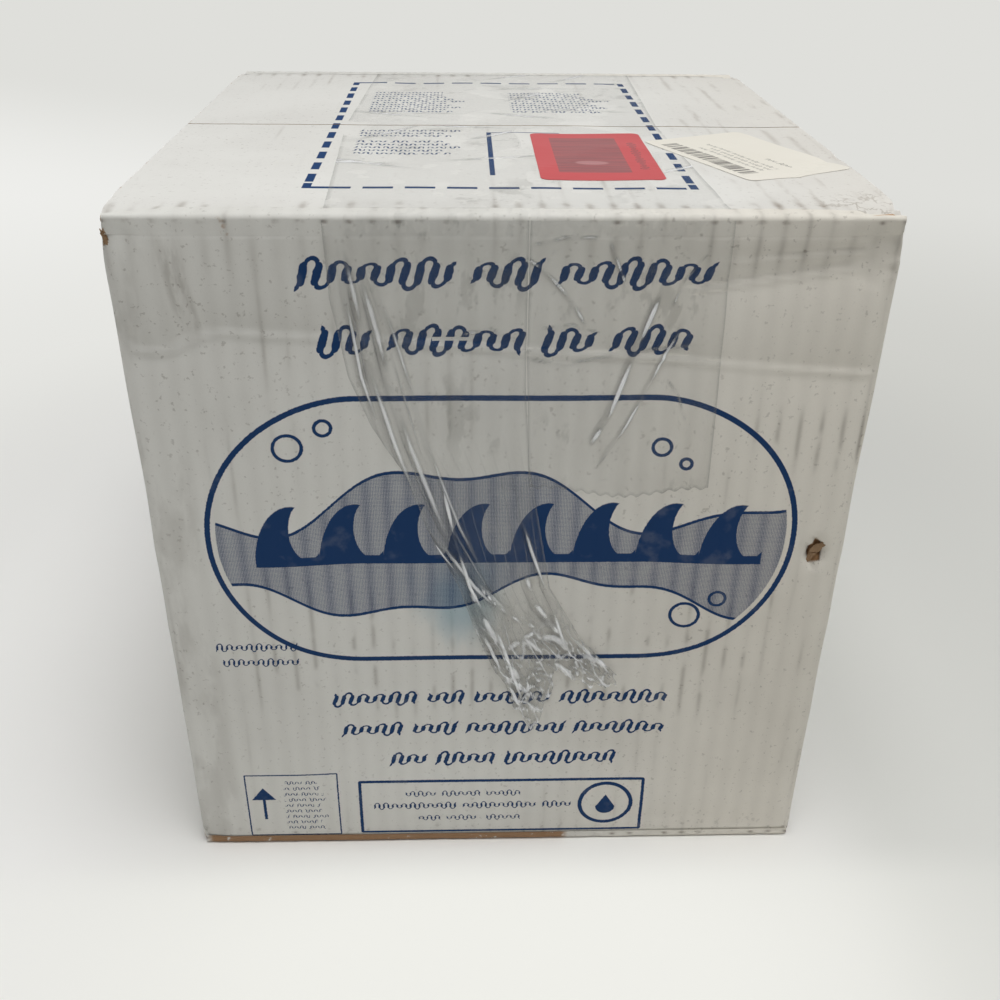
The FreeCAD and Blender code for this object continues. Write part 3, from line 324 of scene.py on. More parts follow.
# the upper and lower rims step back under the fold strips
long_room = np.maximum((z - 297.2) / 1.2, (6.4 - z) / 1.2)
side_room = np.maximum((z - 293.2) / 1.2, (10.6 - z) / 1.2)
spots[:, 1] -= np.sign(y) * 0.5 * ease(long_room) * (np.abs(y) > 145)
spots[:, 0] -= np.sign(x) * 0.4 * ease(side_room) * (np.abs(x) > 141.5) * (np.abs(y) < 142)
set_points(sleeve, spots)
for name in ("printed_low", "printed_picture", "printed_top", "plain", "inside"):
    sleeve.data.materials.append(bpy.data.materials.new(name + "_place"))
for face in sleeve.data.polygons:
    height = face.center.z * 1000
    printed_place = 0 if height < 107 else 1 if height < 236 else 2
    face.material_index = printed_place if face.center.y < -0.1448 else 3
outer_count = len(sleeve.data.vertices)
apply(sleeve, "SOLIDIFY", thickness=BOARD / 1000, offset=-1, material_offset=4,
      material_offset_rim=4)
# the inner face stays flat
spots = points(sleeve)
inner = np.arange(len(spots)) >= outer_count
limit = np.where(np.abs(spots[:, 0]) > 94, -145.9, -143.6)
press = inner & (spots[:, 1] < -140) & (np.abs(spots[:, 0]) < 138)
spots[:, 1] = np.where(press, np.minimum(spots[:, 1], limit), spots[:, 1])
set_points(sleeve, spots)
soften(sleeve, 60)
print("sleeve points", len(spots), "front from", spots[:, 1].min().round(2))

# %% [markdown]
# ## Lid flaps
# Each lid flap is one sheet of board: a grid in the plane of its outer liner, thickened
# downwards by Solidify. The outer liner, the brown inner liner and the cut edge are three
# places for materials, because on real board they are three different papers. Pressed
# corners and a faint wave keep it from looking like a plate.

# %% The two lid flaps
def lid_dip(x, y):
    """how far the lid lies under its flat plane"""
    edge = ease((142 - np.abs(x)) / 20) * ease((145.7 - np.abs(y)) / 12)
    dip = 0.35 * np.abs(ripple(x, y, 70, 8)) * edge
    for place, reach, depth in (((143, -146), 19, 3.4), ((-141, -145), 14, 2.8),
                                ((141, 145), 8, 1.5), ((-141, 145), 7, 1.2)):
        dip += depth * near(x, y, place, reach) * (0.35 + 0.9 * np.abs(ripple(x, y, 11, 9)))
    gap, _, along = nearest([(70, -141), (100, -118), (128, -76), (142, -60)], x, y)
    dip += 0.9 * np.exp(-gap / 4) * ease(along * 4)
    return np.minimum(dip, 3)


def corner_pull(x, y):
    """how far a crushed corner has moved towards the middle of the lid"""
    pull = np.zeros(x.shape)
    for side, depth in ((-1, 1.5), (1, 1.0)):
        pull -= side * depth * near(x, y, (side * 142, -149), 10) \
            * (0.7 + 0.45 * ripple(x, y, 9, 15))
    return pull


def lid_flap(name, sign):
    flap = fresh(bpy.ops.mesh.primitive_grid_add, name, x_subdivisions=100,
                 y_subdivisions=50, size=1)
    flap.scale = (0.284, 0.1452, 1)
    flap.location = (0, sign * 0.0731, TOP / 1000)
    bpy.ops.object.transform_apply(location=True, rotation=False, scale=True)
    spots = points(flap)
    x, y, z = spots.T
    spots[:, 0] = x + corner_pull(x, y)
    spots[:, 2] = z - lid_dip(x, y) - 0.5 * ease((np.abs(y) - 141.8) / 1.2)
    set_points(flap, spots)
    for role in ("outside", "inside", "edge"):
        flap.data.materials.append(bpy.data.materials.new(role + "_place"))
    apply(flap, "SOLIDIFY", thickness=BOARD / 1000, offset=-1, material_offset=1,
          material_offset_rim=2)
    spots = points(flap)
    under = TOP - BOARD
    spots[:, 2] = np.where(spots[:, 2] < under + 0.5, under, spots[:, 2])
    spots[:, 0] = np.clip(spots[:, 0], -142.4, 142.4)
    set_points(flap, spots)
    soften(flap, 50)
    return flap


front_lid_board = lid_flap("front_lid_board", -1)
rear_lid_board = lid_flap("rear_lid_board", 1)
print("lid flap faces", len(front_lid_board.data.polygons))

# %% [markdown]
# ## Scored folds
# Where a flap turns over, the outer liner stretches round the fold as a bright rounded
# bead. A sharp edge would look like wood, and a bevel on the flap would break when the lid
# opens. So each fold gets its own strip: a narrow grid whose upper edge is spun a quarter
# turn round the fold's axis and pulled on over the flap.

# %% One fold strip, copied to every fold
FOLD_RADIUS = 2.06
LONG_FOLD, SIDE_FOLD = 281, 284
LID_AXIS = 148, 303  # how far the lid's folds lie from the middle, and how high
fold_profile = fresh(bpy.ops.mesh.primitive_grid_add, "fold_strip", x_subdivisions=140,
                     y_subdivisions=3, size=1)
fold_profile.scale = (1, 0.007, 1)
fold_profile.rotation_euler = (math.radians(90), 0, 0)
fold_profile.location = (0, -FOLD_RADIUS / 1000, -0.0035)
bpy.ops.object.transform_apply(location=True, rotation=True, scale=True)
bpy.ops.object.mode_set(mode="EDIT")
choose_edges(lambda first, last: abs(first.z) + abs(last.z) < 0.001)
bpy.ops.mesh.spin(steps=7, angle=math.radians(90), center=(0, 0, 0), axis=(1, 0, 0))
for _ in range(3):
    bpy.ops.mesh.extrude_region_move(TRANSFORM_OT_translate={"value": (0, 0.0024, 0)})
bpy.ops.object.mode_set(mode="OBJECT")
spots = points(fold_profile)
print("fold strip from", spots.min(0).round(2), "to", spots.max(0).round(2))


def fold_strip(name, quarter, level):
    """the strip for one fold, turned by quarters from the front to its side"""
    length, outward = (SIDE_FOLD, 140.4) if quarter % 2 else (LONG_FOLD, 147.98)
    wear = 0.5 if "dust" in name else 1.0
    down = "bottom" in name
    short = 0.4 if down else 0.8
    strip = copied(fold_profile, name)
    x, y, z = points(strip).T
    x = x / 1000 * length
    z = np.where(z < -0.01, z * short, z)
    reach = np.maximum(-z / short, y) / 7.2
    worn = 0.2 * np.abs(ripple(x, reach * 9, 17, 21))
    dots = 0.3 * hill(reach - 0.5, 0.2) * ease(np.cos(x * math.tau / FLUTE) * 2)
    shrink = 1 - wear * (worn + dots) / FOLD_RADIUS * ease((1 - reach) / 0.4)
    tucked = 0.1 * ease((reach - (0.35 if down else 0.8)) / 0.15)
    y2 = np.where(y > 0.01, y, y * shrink + tucked)
    z2 = np.where(z < -0.01, z, z * shrink - tucked)
    x, y = turned(x, y2 - outward, 90 * quarter)
    spots = np.column_stack([x, y, level + (-z2 if down else z2)])
    x, y, z = spots.T  # views, which follow each change below
    if quarter == 0:
        spots[:, 1] += front_dent(x, z) * (y < -147.9)
    if "fold" in name:
        spots[:, 2] -= lid_dip(x, y) * ease((150 - np.abs(y)) / 6) * (z > LID_AXIS[1])
        spots[:, 0] += corner_pull(x, y) * ease((z - 294) / 8)
    spots[:, 2] = np.maximum(spots[:, 2], 0)
    set_points(strip, spots)
    only(strip)
    bpy.ops.object.mode_set(mode="EDIT")
    bpy.ops.mesh.select_all(action="SELECT")
    bpy.ops.mesh.normals_make_consistent(inside=False)
    bpy.ops.object.mode_set(mode="OBJECT")
    soften(strip, 60)
    return strip


strips = {name: fold_strip(name, quarter, level) for name, quarter, level in (
    ("front_fold_liner", 0, LID_AXIS[1]), ("rear_fold_liner", 2, LID_AXIS[1]),
    ("left_dust_liner", 3, DUST_LEVEL), ("right_dust_liner", 1, DUST_LEVEL),
    ("front_bottom_liner", 0, FOLD_RADIUS), ("rear_bottom_liner", 2, FOLD_RADIUS),
    ("left_bottom_liner", 3, FOLD_RADIUS + BOARD),
    ("right_bottom_liner", 1, FOLD_RADIUS + BOARD))}
bpy.data.objects.remove(fold_profile)
for name, strip in strips.items():
    print(name, points(strip).min(0).round(1), points(strip).max(0).round(1))

# %% [markdown]
# ## Clear film
# Two strips of packing film run over the lid and down the front. On the front the left
# strip has slipped: it gathers into a bundle of wrinkles and ends in a crumpled tail. Film
# keeps its length, so where its outline narrows the spare width stands up as ridges. A grid
# is bent to that outline, and ridges are added along the lines where the light catches.

# %% Film on the front
TAPE_LEFT, TAPE_SEAM, TAPE_RIGHT = -64.4, 7.6, 79.6
LEFT_EDGE = [(303, -64.6), (274, -64.0), (243, -59), (222, -51), (200, -38), (177, -31),
             (147, -18), (121, -10), (95, 0), (69, 2)]
RIGHT_EDGE = [(303, 7.5), (240, 7.8), (205, 10), (177, 15), (147, 20), (121, 34), (95, 56),
              (69, 62)]
STREAKS = [
    ([(-25, 200), (-19.6, 172), (-13.5, 147.5), (-0.7, 121), (14, 72)], 1.2, 0.9),
    ([(5, 190), (12, 165), (22, 135), (28, 115), (48, 95)], 0.9, 0.8),
    ([(-20, 258), (-6, 262), (0, 259)], 0.5, 0.5),
    ([(57, 278), (49.6, 255), (40, 226), (33, 213)], 1.3, 0.9),
    ([(68, 270), (57, 244), (47, 222), (36, 203)], 0.9, 0.6),
    ([(72, 292), (64, 280), (60, 268)], 0.5, 0.4),
    ([(36, 296), (41, 284), (43, 279)], 1.0, 0.5),
    ([(6, 290), (14, 284), (24, 273), (30, 262)], 0.8, 0.6),
    ([(6, 250), (22, 248), (45, 252), (76, 256)], 0.4, 0.6),
    ([(8, 294), (20, 297), (34, 297)], 0.5, 0.5),
    ([(12, 262), (24, 264), (36, 260)], 0.4, 0.4),
    ([(60, 243), (66, 236), (70, 224)], 0.4, 0.4),
    ([(-9, 147), (-2, 138)], 1.1, 0.6),
    ([(-13, 148), (-11, 140), (-5, 126), (4, 107), (10, 94)], 0.8, 1.7),
    ([(-9, 137), (-7, 121), (1, 101), (7, 87), (13, 74)], 0.9, 1.0),
    ([(9, 156), (14, 139), (22, 128), (25, 122)], 0.75, 1.3),
    ([(2, 112), (7, 120), (14, 124), (17, 120)], 0.85, 1.0),
    ([(7, 124), (21, 110), (33, 99), (46, 89)], 0.9, 1.3),
    ([(10, 122), (23, 121), (34, 113), (49, 105), (57, 98)], 0.8, 2.0),
    ([(36, 100), (45, 96), (52, 91)], 1.2, 0.6),
    ([(13, 102), (18, 105), (29, 92)], 0.95, 0.7),
    ([(9, 89), (15, 97), (20, 100)], 0.8, 0.7),
    ([(32, 114), (34, 99)], 0.8, 0.9),
    ([(-2, 138), (6, 131), (16, 126)], 0.7, 0.7),
    ([(16, 96), (22, 88), (24, 80)], 0.7, 0.8),
]
BUNDLE = [[(-60, 296), (-58, 274), (-54, 243), (-46, 214), (-33.6, 177), (-13.5, 147.5), (4, 128)],
          [(-50, 291), (-40, 262), (-34, 243), (-27, 214), (-15, 177), (-3, 147.5), (12, 128)]]
for share, height, width in ((0.0, 0.8, 0.8), (0.08, 0.4, 0.4), (0.2, 0.7, 1.1),
                             (0.38, 0.35, 0.4), (0.5, 0.6, 1.3), (0.68, 0.35, 0.4),
                             (0.86, 0.5, 0.8)):
    STREAKS.append(([(x0 + share * (x1 - x0), z0 + share * (z1 - z0))
                     for (x0, z0), (x1, z1) in zip(*BUNDLE)], height, width))


def add_number(piece, name, values):
    """a number for each point, which a material can read"""
    layer = piece.data.attributes.new(name, "FLOAT", "POINT")
    layer.data.foreach_set("value", np.clip(values, 0, 1).astype(np.float32))


def side_at(z, edge):
    """where the edge of a film runs at each height"""
    levels, sides = zip(*sorted(edge))
    return np.interp(z, levels, sides)


def film_sheet(name, columns, lines, left, right, bottom, crumple):
    film = fresh(bpy.ops.mesh.primitive_grid_add, name, x_subdivisions=columns,
                 y_subdivisions=lines, size=1)
    spots = points(film) / 1000
    share, down = spots[:, 0] + 0.5, 0.5 - spots[:, 1]
    low = bottom(share)
    z = LID_AXIS[1] - down * (LID_AXIS[1] - low)
    start, stop = side_at(z, left), side_at(z, right)
    x = start + share * (stop - start)
    tight = 1 - (stop - start) / (TAPE_SEAM - TAPE_LEFT + 0.2)
    ridge, shine, shade = np.zeros((3, *x.shape))
    # each streak gets a painted highlight along its ridge (shine) and a painted shade beside it
    # (shade)
    for path, height, width in STREAKS:
        gap, side, along = nearest(path, x, z)
        ends = ease(along * 6) * ease((1 - along) * 6)
        ridge = np.maximum(ridge, height * ends * hill(gap, width))
        broken = np.clip(0.5 + 0.6 * np.sin(along * 17 + height * 47 + path[0][0]), 0.08, 1)
        shine = np.maximum(shine, height * ends * broken * hill(gap * 1.3, width))
        shade = np.maximum(shade, height * ends * hill(gap * side + 1.6 * width, width))
    pleats = np.abs(np.sin(share * 31 + 1.2 * np.sin(down * 9)))
    ridge += crumple * tight * (0.9 * pleats + 0.7 * np.abs(ripple(x, z, 13, 31)))
    tail = ease((150 - z) / 45)
    ridge += crumple * tail * (np.abs(ripple(x, z * 0.8, 9, 33))
                               + 0.5 * np.abs(ripple(x, z, 4.5, 34)))
    for size, seed in ((17, 61), (10, 62), (6, 63)):
        fold = hill(ripple(x + z * 0.4, z * 0.7, size, seed), 0.09)
        shine = np.maximum(shine, crumple * tail * 0.6 * fold)
        ridge += crumple * tail * 0.5 * fold
    shine = np.maximum(shine, crumple * tight * 0.5 * hill(pleats, 0.12) * ease((230 - z) / 60))
    lift = ridge + 0.06 + 0.05 * ripple(x, z, 22, 35) ** 2
    y = -DEPTH / 2 + front_dent(x, z) - lift
    set_points(film, np.column_stack([x, np.maximum(y, -150.04), z]))
    add_number(film, "shine", shine)
    add_number(film, "shade", shade)
    rim = np.minimum(share, 1 - share) * (stop - start)
    add_number(film, "rim", 1 - np.minimum(rim, (z - low) * 0.8) / 1.1)
    apply(film, "SOLIDIFY", thickness=0.00004, offset=0)
    soften(film, 80)
    return film


def ragged(share):
    ends = np.interp(share, [0, 0.08, 0.22, 0.34, 0.5, 0.68, 0.86, 1],
                     [104, 84, 68, 86, 104, 96, 93, 101])
    return ends + 1.5 * np.sin(share * 60)


def straight_cut(share):
    return 193 + 2.2 * np.sin(share * 7 + 1) + 0.6 * np.sin(share * 90)


left_film = film_sheet("front_film_left", 180, 190, LEFT_EDGE, RIGHT_EDGE, ragged, 1.0)
right_film = film_sheet("front_film_right", 150, 130,
                        [(303, 7.9), (250, 8.1), (193, 10)],
                        [(303, 79.7), (240, 81), (193, 81.5)], straight_cut, 0.0)
print("film faces", len(left_film.data.polygons), len(right_film.data.polygons))

# %% [markdown]
# ### Film on the lid, the folds and the rear
# On the lid the film lies flat with a few long wrinkles, so a grid with low ripples is
# enough. Over the two folds it is the same fold strip as the liner, a little further out.

# %% Film on the lid, folds and rear
def flat_film(name, front, rear, seed):
    """film of full width, from one depth and height to another"""
    low, high = (TAPE_LEFT, *front), (TAPE_RIGHT, *rear)
    upright = low[1] == high[1]
    film = fresh(bpy.ops.mesh.primitive_grid_add, name, x_subdivisions=72,
                 y_subdivisions=72, size=1)
    spots = points(film) / 1000 + 0.5
    x = low[0] + spots[:, 0] * (high[0] - low[0])
    if upright:
        z = low[2] + spots[:, 1] * (high[2] - low[2])
        y = np.full(x.shape, low[1]) - 0.03 * np.abs(ripple(x, z, 15, seed))
        y = np.minimum(y, 150.08)
    else:
        y = low[1] + spots[:, 1] * (high[1] - low[1])
        z = low[2] + 0.03 + 0.02 * ripple(x, y, 12, seed) - lid_dip(x, y)
        x = x - 0.035 * (y + 146) * (y < 0) - 0.035 * (146 - y) * (y >= 0)
        z = np.where(np.abs(x - TAPE_SEAM) < 0.6, z + 0.03, z)
    set_points(film, np.column_stack([x, y, z]))
    lines = np.zeros(x.shape)
    for number in range(9):
        dice = np.random.default_rng(seed * 10 + number)
        middle = dice.uniform(low[0], high[0]), dice.uniform(low[1], high[1])
        angle = dice.uniform(-0.5, 0.9)
        run = (x - middle[0]) * math.cos(angle) + (y - middle[1]) * math.sin(angle)
        off = (y - middle[1]) * math.cos(angle) - (x - middle[0]) * math.sin(angle)
        lines = np.maximum(lines, hill(run, 14) * hill(off, 1.1))
    add_number(film, "shine", lines * (0 if upright else 0.8))
    rim = np.minimum(spots[:, 0], 1 - spots[:, 0]) * (TAPE_RIGHT - TAPE_LEFT)
    add_number(film, "rim", 1 - rim / 2.0)
    apply(film, "SOLIDIFY", thickness=0.00003, offset=0)
    soften(film, 80)
    return film


front_lid_film = flat_film("front_lid_film", (-142, TOP), (-0.6, TOP), 41)
rear_lid_film = flat_film("rear_lid_film", (0.6, TOP), (142, TOP), 42)
rear_film = flat_film("rear_film", (150.07, 243), (150.07, 297), 43)


def fold_film(name, liner):
    film = copied(strips[liner], name)
    spots = points(film)
    spots[:, 0] = TAPE_SEAM + spots[:, 0] / LONG_FOLD * (TAPE_RIGHT - TAPE_LEFT)
    axis = np.array([0, math.copysign(LID_AXIS[0], spots[:, 1].mean()), LID_AXIS[1]])
    away = (spots - axis) * np.array([0, 1, 1])
    away /= np.maximum(np.linalg.norm(away, axis=1, keepdims=True), 1)
    spots += 0.03 * away
    set_points(film, spots)
    return film


front_fold_film = fold_film("front_fold_film", "front_fold_liner")
rear_fold_film = fold_film("rear_fold_film", "rear_fold_liner")
print("films", front_lid_film.name, rear_lid_film.name, rear_film.name)

# %% [markdown]
# ## Labels
# The two paper labels are thin sheets with rounded corners. A plane is bevelled at its four
# corners, filled with a grid by cuts, and its corners lift by a fraction of a millimetre.

# %% The red and the cream label
RED_PLACE = 39, -59
CREAM_PLACE, CREAM_TURN = (102.8, -57), 24.5


def label(name, width, depth, middle, degrees, height):
    sheet = fresh(bpy.ops.mesh.primitive_plane_add, name, size=1)
    sheet.scale = (width / 1000, depth / 1000, 1)
    bpy.ops.object.transform_apply(location=False, rotation=False, scale=True)
    bpy.ops.object.mode_set(mode="EDIT")
    bpy.ops.mesh.select_all(action="SELECT")
    bpy.ops.mesh.bevel(offset=0.0035, segments=5, affect="VERTICES")
    cut(0, np.arange(-width / 2 + 3.6, width / 2 - 3, 4))
    cut(1, np.arange(-depth / 2 + 3.6, depth / 2 - 3, 4))
    bpy.ops.object.mode_set(mode="OBJECT")
    x, y, _ = points(sheet).T
    lift = 0.08 * np.minimum(np.maximum(0, np.hypot(x / width, y / depth) - 0.5) * 4, 1)
    x, y = turned(x, y, degrees)
    x, y = x + middle[0], y + middle[1]
    set_points(sheet, np.column_stack([x, y, height + lift - lid_dip(x, y)]))
    apply(sheet, "SOLIDIFY", thickness=0.00006, offset=-1)
    return sheet


red_sheet = label("red_label_sheet", 49, 84, RED_PLACE, 0, TOP + 0.15)
cream_sheet = label("cream_label_sheet", 51, 77, CREAM_PLACE, CREAM_TURN, TOP + 0.16)
print("labels", red_sheet.name, cream_sheet.name)

# %% [markdown]
# ## Torn board
# A corner of the lid has lost its white liner, and something has punched the front. Both
# show brown paper in small bent scraps. Each scrap is a subdivided plane with a ragged
# outline, curled by moving its points.

# %% Scraps of torn liner
def scrap(name, place, size, degrees, curl, seed, facing):
    piece = fresh(bpy.ops.mesh.primitive_grid_add, name, x_subdivisions=9,
                  y_subdivisions=7, size=1)
    x, y, _ = points(piece).T / 1000
    dice = np.random.default_rng(seed)
    rim = np.maximum(np.abs(x), np.abs(y)) > 0.45
    x = x + rim * dice.uniform(-0.12, 0.12, len(x))
    y = y + rim * dice.uniform(-0.12, 0.12, len(x))
    taper = 1 - 0.5 * (x + 0.5)
    out = curl * (x + 0.5) ** 2 + 0.25 * dice.uniform(-1, 1, len(x))
    a, b = turned(x * size[0], y * size[1] * taper, degrees)
    columns = [a, -out, b] if facing == "front" else [-out, a, b]
    set_points(piece, np.column_stack(columns) + np.array(place))
    apply(piece, "SOLIDIFY", thickness=0.0004, offset=0)
    soften(piece, 50)
    return piece


scraps = [
    scrap("puncture_lip", (131.0, -148.7, 167.5), (7.5, 4.0), 48, 0.8, 51, "front"),
    scrap("puncture_shard", (127.6, -148.6, 162.0), (5.0, 2.6), -115, 0.7, 52, "front"),
    scrap("corner_scrap_1", (-138.2, -147.3, 302.0), (4.2, 2.6), 150, 0.7, 53, "front"),
    scrap("corner_scrap_2", (-139.8, -148.2, 296.5), (5.2, 2.6), 100, 0.9, 54, "front"),
    scrap("corner_scrap_3", (-141.2, -134, 303.0), (5.0, 2.2), 12, 0.8, 55, "left"),
]
print("scraps", [piece.name for piece in scraps])

# %% [markdown]
# ## The valve's spring
# The poppet of the valve inside pushes a coil together, which a rigid node can't show. The
# coil is made once more: a small circle of wire stands beside the valve's axis, and a Screw
# modifier winds it up.

# %% A coil wound from a circle
SPRING_AXIS = (103.9, 111.4)
SPRING_LOW, SPRING_HIGH = 67.8, 85.4
SPRING_RADIUS, WIRE_RADIUS, TURNS = 8, 0.5, 4
coil = fresh(bpy.ops.mesh.primitive_circle_add, "valve_coil", vertices=10,
             radius=WIRE_RADIUS / 1000, location=(SPRING_RADIUS / 1000, 0, 0),
             rotation=(math.pi / 2, 0, 0))
bpy.ops.object.transform_apply(location=True, rotation=True, scale=True)
apply(coil, "SCREW", iterations=TURNS, screw_offset=(SPRING_HIGH - SPRING_LOW) / TURNS / 1000,
      steps=24, render_steps=24, use_merge_vertices=True)
bpy.ops.object.mode_set(mode="EDIT")
bpy.ops.mesh.select_all(action="SELECT")
bpy.ops.mesh.remove_doubles(threshold=0.00001)
bpy.ops.mesh.fill_holes(sides=10)
bpy.ops.mesh.normals_make_consistent(inside=False)
bpy.ops.object.mode_set(mode="OBJECT")
set_points(coil, points(coil) + np.array([*SPRING_AXIS, SPRING_LOW]))
soften(coil)
print("coil", points(coil).min(axis=0).round(2), points(coil).max(axis=0).round(2),
      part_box("valve_spring"))

# %% [markdown]
# ## Writing materials as sums
# A material is a tree of nodes. Wiring hundreds of Math nodes by hand hides what they do,
# so a small class wraps a socket: adding or multiplying two wrapped sockets adds the Math
# node, and one method makes any other node from its type, settings and inputs.

# %% A socket that can be used in sums
class Flow:
    """a socket in a node tree, which can be added, multiplied and compared"""
    def __init__(self, tree, socket):
        self.tree = tree
        self.socket = socket

    def node(self, kind, settings=None, inputs=None, out=0):
        made = self.tree.nodes.new(kind)
        for name, value in (settings or {}).items():
            setattr(made, name, value)
        for name, value in (inputs or {}).items():
            if isinstance(value, Flow):
                self.tree.links.new(value.socket, made.inputs[name])
            elif value is not None:
                made.inputs[name].default_value = value
        return Flow(self.tree, made.outputs[out])

    def parts(self):
        """x, y and z of a vector"""
        split = self.node("ShaderNodeSeparateXYZ", {}, {0: self})
        return [Flow(self.tree, socket) for socket in split.socket.node.outputs]

    def maths(self, operation, first, second=None):
        return self.node("ShaderNodeMath", {"operation": operation}, {0: first, 1: second})

    def __add__(self, other):
        return self.maths("ADD", self, other)

    def __sub__(self, other):
        return self.maths("SUBTRACT", self, other)

    def __mul__(self, other):
        return self.maths("MULTIPLY", self, other)

    def __truediv__(self, other):
        return self.maths("DIVIDE", self, other)

    def __pow__(self, other):
        return self.maths("POWER", self, other)

    def __gt__(self, other):
        return self.maths("GREATER_THAN", self, other)

    def __abs__(self):
        return self.maths("ABSOLUTE", self)

    def __rsub__(self, other):
        return self.maths("SUBTRACT", other, self)

    __radd__ = __add__
    __rmul__ = __mul__


def sine(value):
    return value.maths("SINE", value)


def largest(first, second):
    return first.maths("MAXIMUM", first, second)


def least(first, second):
    return first.maths("MINIMUM", first, second)


def distance(first, second):
    return (first * first + second * second) ** 0.5


def step(value, low, high):
    """0 below low, 1 above high, smooth between; low over high turns it round"""
    return value.node("ShaderNodeMapRange", {"interpolation_type": "SMOOTHSTEP"},
                      {"Value": value, "From Min": low, "From Max": high})


def band(value, low, high, soft=0.15):
    return step(value, low - soft, low + soft) * step(value, high + soft, high - soft)


def blend(share, first, second):
    first = (*first, 1) if isinstance(first, tuple) else first
    second = (*second, 1) if isinstance(second, tuple) else second
    return share.node("ShaderNodeMix", {"data_type": "RGBA"},
                      {0: share, 6: first, 7: second}, out=2)


def noise(where, scale, detail=3.0, rough=0.5, stretch=(1, 1, 1)):
    if stretch != (1, 1, 1):
        where = where.node("ShaderNodeVectorMath", {"operation": "MULTIPLY"},
                           {0: where, 1: stretch})
    return where.node("ShaderNodeTexNoise", {},
                      {"Vector": where, "Scale": scale, "Detail": detail, "Roughness": rough})


def colour(red, green, blue):
    """screen numbers from 0 to 255 as the linear values that shaders use"""
    def linear(number):
        share = number / 255
        return share / 12.92 if share <= 0.04045 else ((share + 0.055) / 1.055) ** 2.4
    return linear(red), linear(green), linear(blue)


class Finish:
    """a material with its object coordinates, and what is linked to its shader"""
    def __init__(self, name, **constants):
        self.material = bpy.data.materials.new(name)
        self.material.use_nodes = True
        self.tree = self.material.node_tree
        self.shader = self.tree.nodes["Principled BSDF"]
        for socket, value in constants.items():
            self.shader.inputs[socket.replace("_", " ")].default_value = value
        self.where = Flow(self.tree, None).node("ShaderNodeTexCoord", out=3)
        self.x, self.y, self.z = (part * 1000 for part in self.where.parts())

    def link(self, flow, socket):
        self.tree.links.new(flow.socket, self.shader.inputs[socket])

    def paint(self, tint, height, strength, depth):
        """colour, and a bump that raises the surface by height times depth"""
        self.link(tint, "Base Color")
        bumped = height.node("ShaderNodeBump", {}, {"Strength": strength, "Distance": depth,
                                                    "Height": height})
        self.link(bumped, "Normal")
        return self


print("materials are sums of", Flow.__name__)

# %% [markdown]
# ## Printed ink
# The carton is printed in one navy ink. The marks here are a made-up design of waves: rows
# of swelling waves, large and small, a framed picture of waves with a fine dot screen, and
# two small boxes. Each mark is a mask from 0 to 1, built from distances in millimetres,
# so its edge stays crisp at any size.

# %% Marks: waves, frames and small rows
NAVY = colour(4, 50, 96)


def gathered(*masks):
    total = masks[0]
    for mask in masks[1:]:
        total = largest(total, mask)
    return total


def waves(across, up, level, height, groups, weight, pitch, slant=0.28, row=0):
    """a row of leaning waves, thick down and thin over, that swell and shrink, in groups"""
    rise = up - level
    count = (across - rise * slant) / pitch
    rise = rise / (0.98 + 0.26 * sine(count * 0.83 + row * 2.1 + level))
    cell = count.maths("FLOOR", count)
    inside = (count - cell) * pitch
    flip = 1 - count.maths("PINGPONG", cell, 1) * 2
    straight = height / 2 - pitch / 2
    leaning = rise * flip
    over = largest(leaning - straight, 0)
    middle = inside - pitch / 2
    arch = abs(distance(middle, over) - pitch / 2)
    stem = least(inside, pitch - inside)
    past = least(leaning + straight, 0)
    end = distance(stem, past)
    above = leaning > straight
    gap = arch * above + end * (1 - above)
    thick = weight * (1 - 0.55 * step(leaning, straight - 0.3 * pitch, straight + 0.4 * pitch))
    marks = step(gap - thick, 0.12, -0.12)
    edge = weight * 1.05 / pitch
    windows = [band(count, round(start / pitch) - edge, round(stop / pitch) + edge, 0.02)
               for start, stop in groups]
    return marks * sum(windows[1:], windows[0]) if windows else marks


def rows_of_waves(across, up, box, spacing, height, weight, pitch, slant=0.0):
    """several rows of small waves; each row has its own groups and its own length"""
    low_x, high_x, low_z, high_z = box
    share = (up - low_z) / spacing
    row = share.maths("FLOOR", share)
    rise = (share - row - 0.5) * spacing
    shifted = (across - low_x) / 9.4 + row * 0.37
    gaps = abs(shifted - shifted.maths("FLOOR", shifted) - 0.5)
    chance = row.node("ShaderNodeTexWhiteNoise", {"noise_dimensions": "1D"}, {"W": row * 1.7})
    end = step(across - high_x + (high_x - low_x) * 0.3 * chance, 0.2, -0.2)
    return waves(across, rise, 0, height, (), weight, pitch, slant, row) \
        * step(gaps, 0.43, 0.41) * end * band(across, low_x, high_x) * band(up, low_z, high_z)


def frame_line(across, up, middle, half, corner, weight):
    """the outline of a rectangle with rounded corners"""
    side = abs(across - middle[0]) - (half[0] - corner)
    rise = abs(up - middle[1]) - (half[1] - corner)
    gap = distance(largest(side, 0), largest(rise, 0)) + least(largest(side, rise), 0) - corner
    return step(abs(gap), weight + 0.13, weight - 0.13), gap


def ring(across, up, middle, radius, weight):
    gap = abs(distance(across - middle[0], up - middle[1]) - radius)
    return step(gap, weight + 0.13, weight - 0.13)


# %% [markdown]
# ## White lined board
# The liner is off-white paper over flutes that repeat every 8.48 mm. Handling leaves grey
# smudges on the crests of the flutes, dirt dots along the folds and brown wear on edges.
# Flute lines, smudges and paper grain come from stretched noise, and they also feed the
# bump. The inner liner is brown and the cut edge shows the flute itself.

# %% Flutes and dirt
WHITE = colour(222, 221, 215)
YELLOWED = colour(230, 225, 214)
# grime, which also carries the faint painted flute shade of the printed front and the folds
GRIME_AND_FLUTE_SHADE = colour(118, 110, 100)
# brown of bare board: dark between its flute ribs as painted shade, light on the ribs
BARE_BOARD_AND_RIB_SHADE = colour(92, 66, 44), colour(158, 122, 88)
DULL = 0.08  # specular level of paper without a gloss


def flutes(across):
    """1 on the crest of each flute, 0 between them"""
    return sine(across * (math.pi / FLUTE)) ** 2


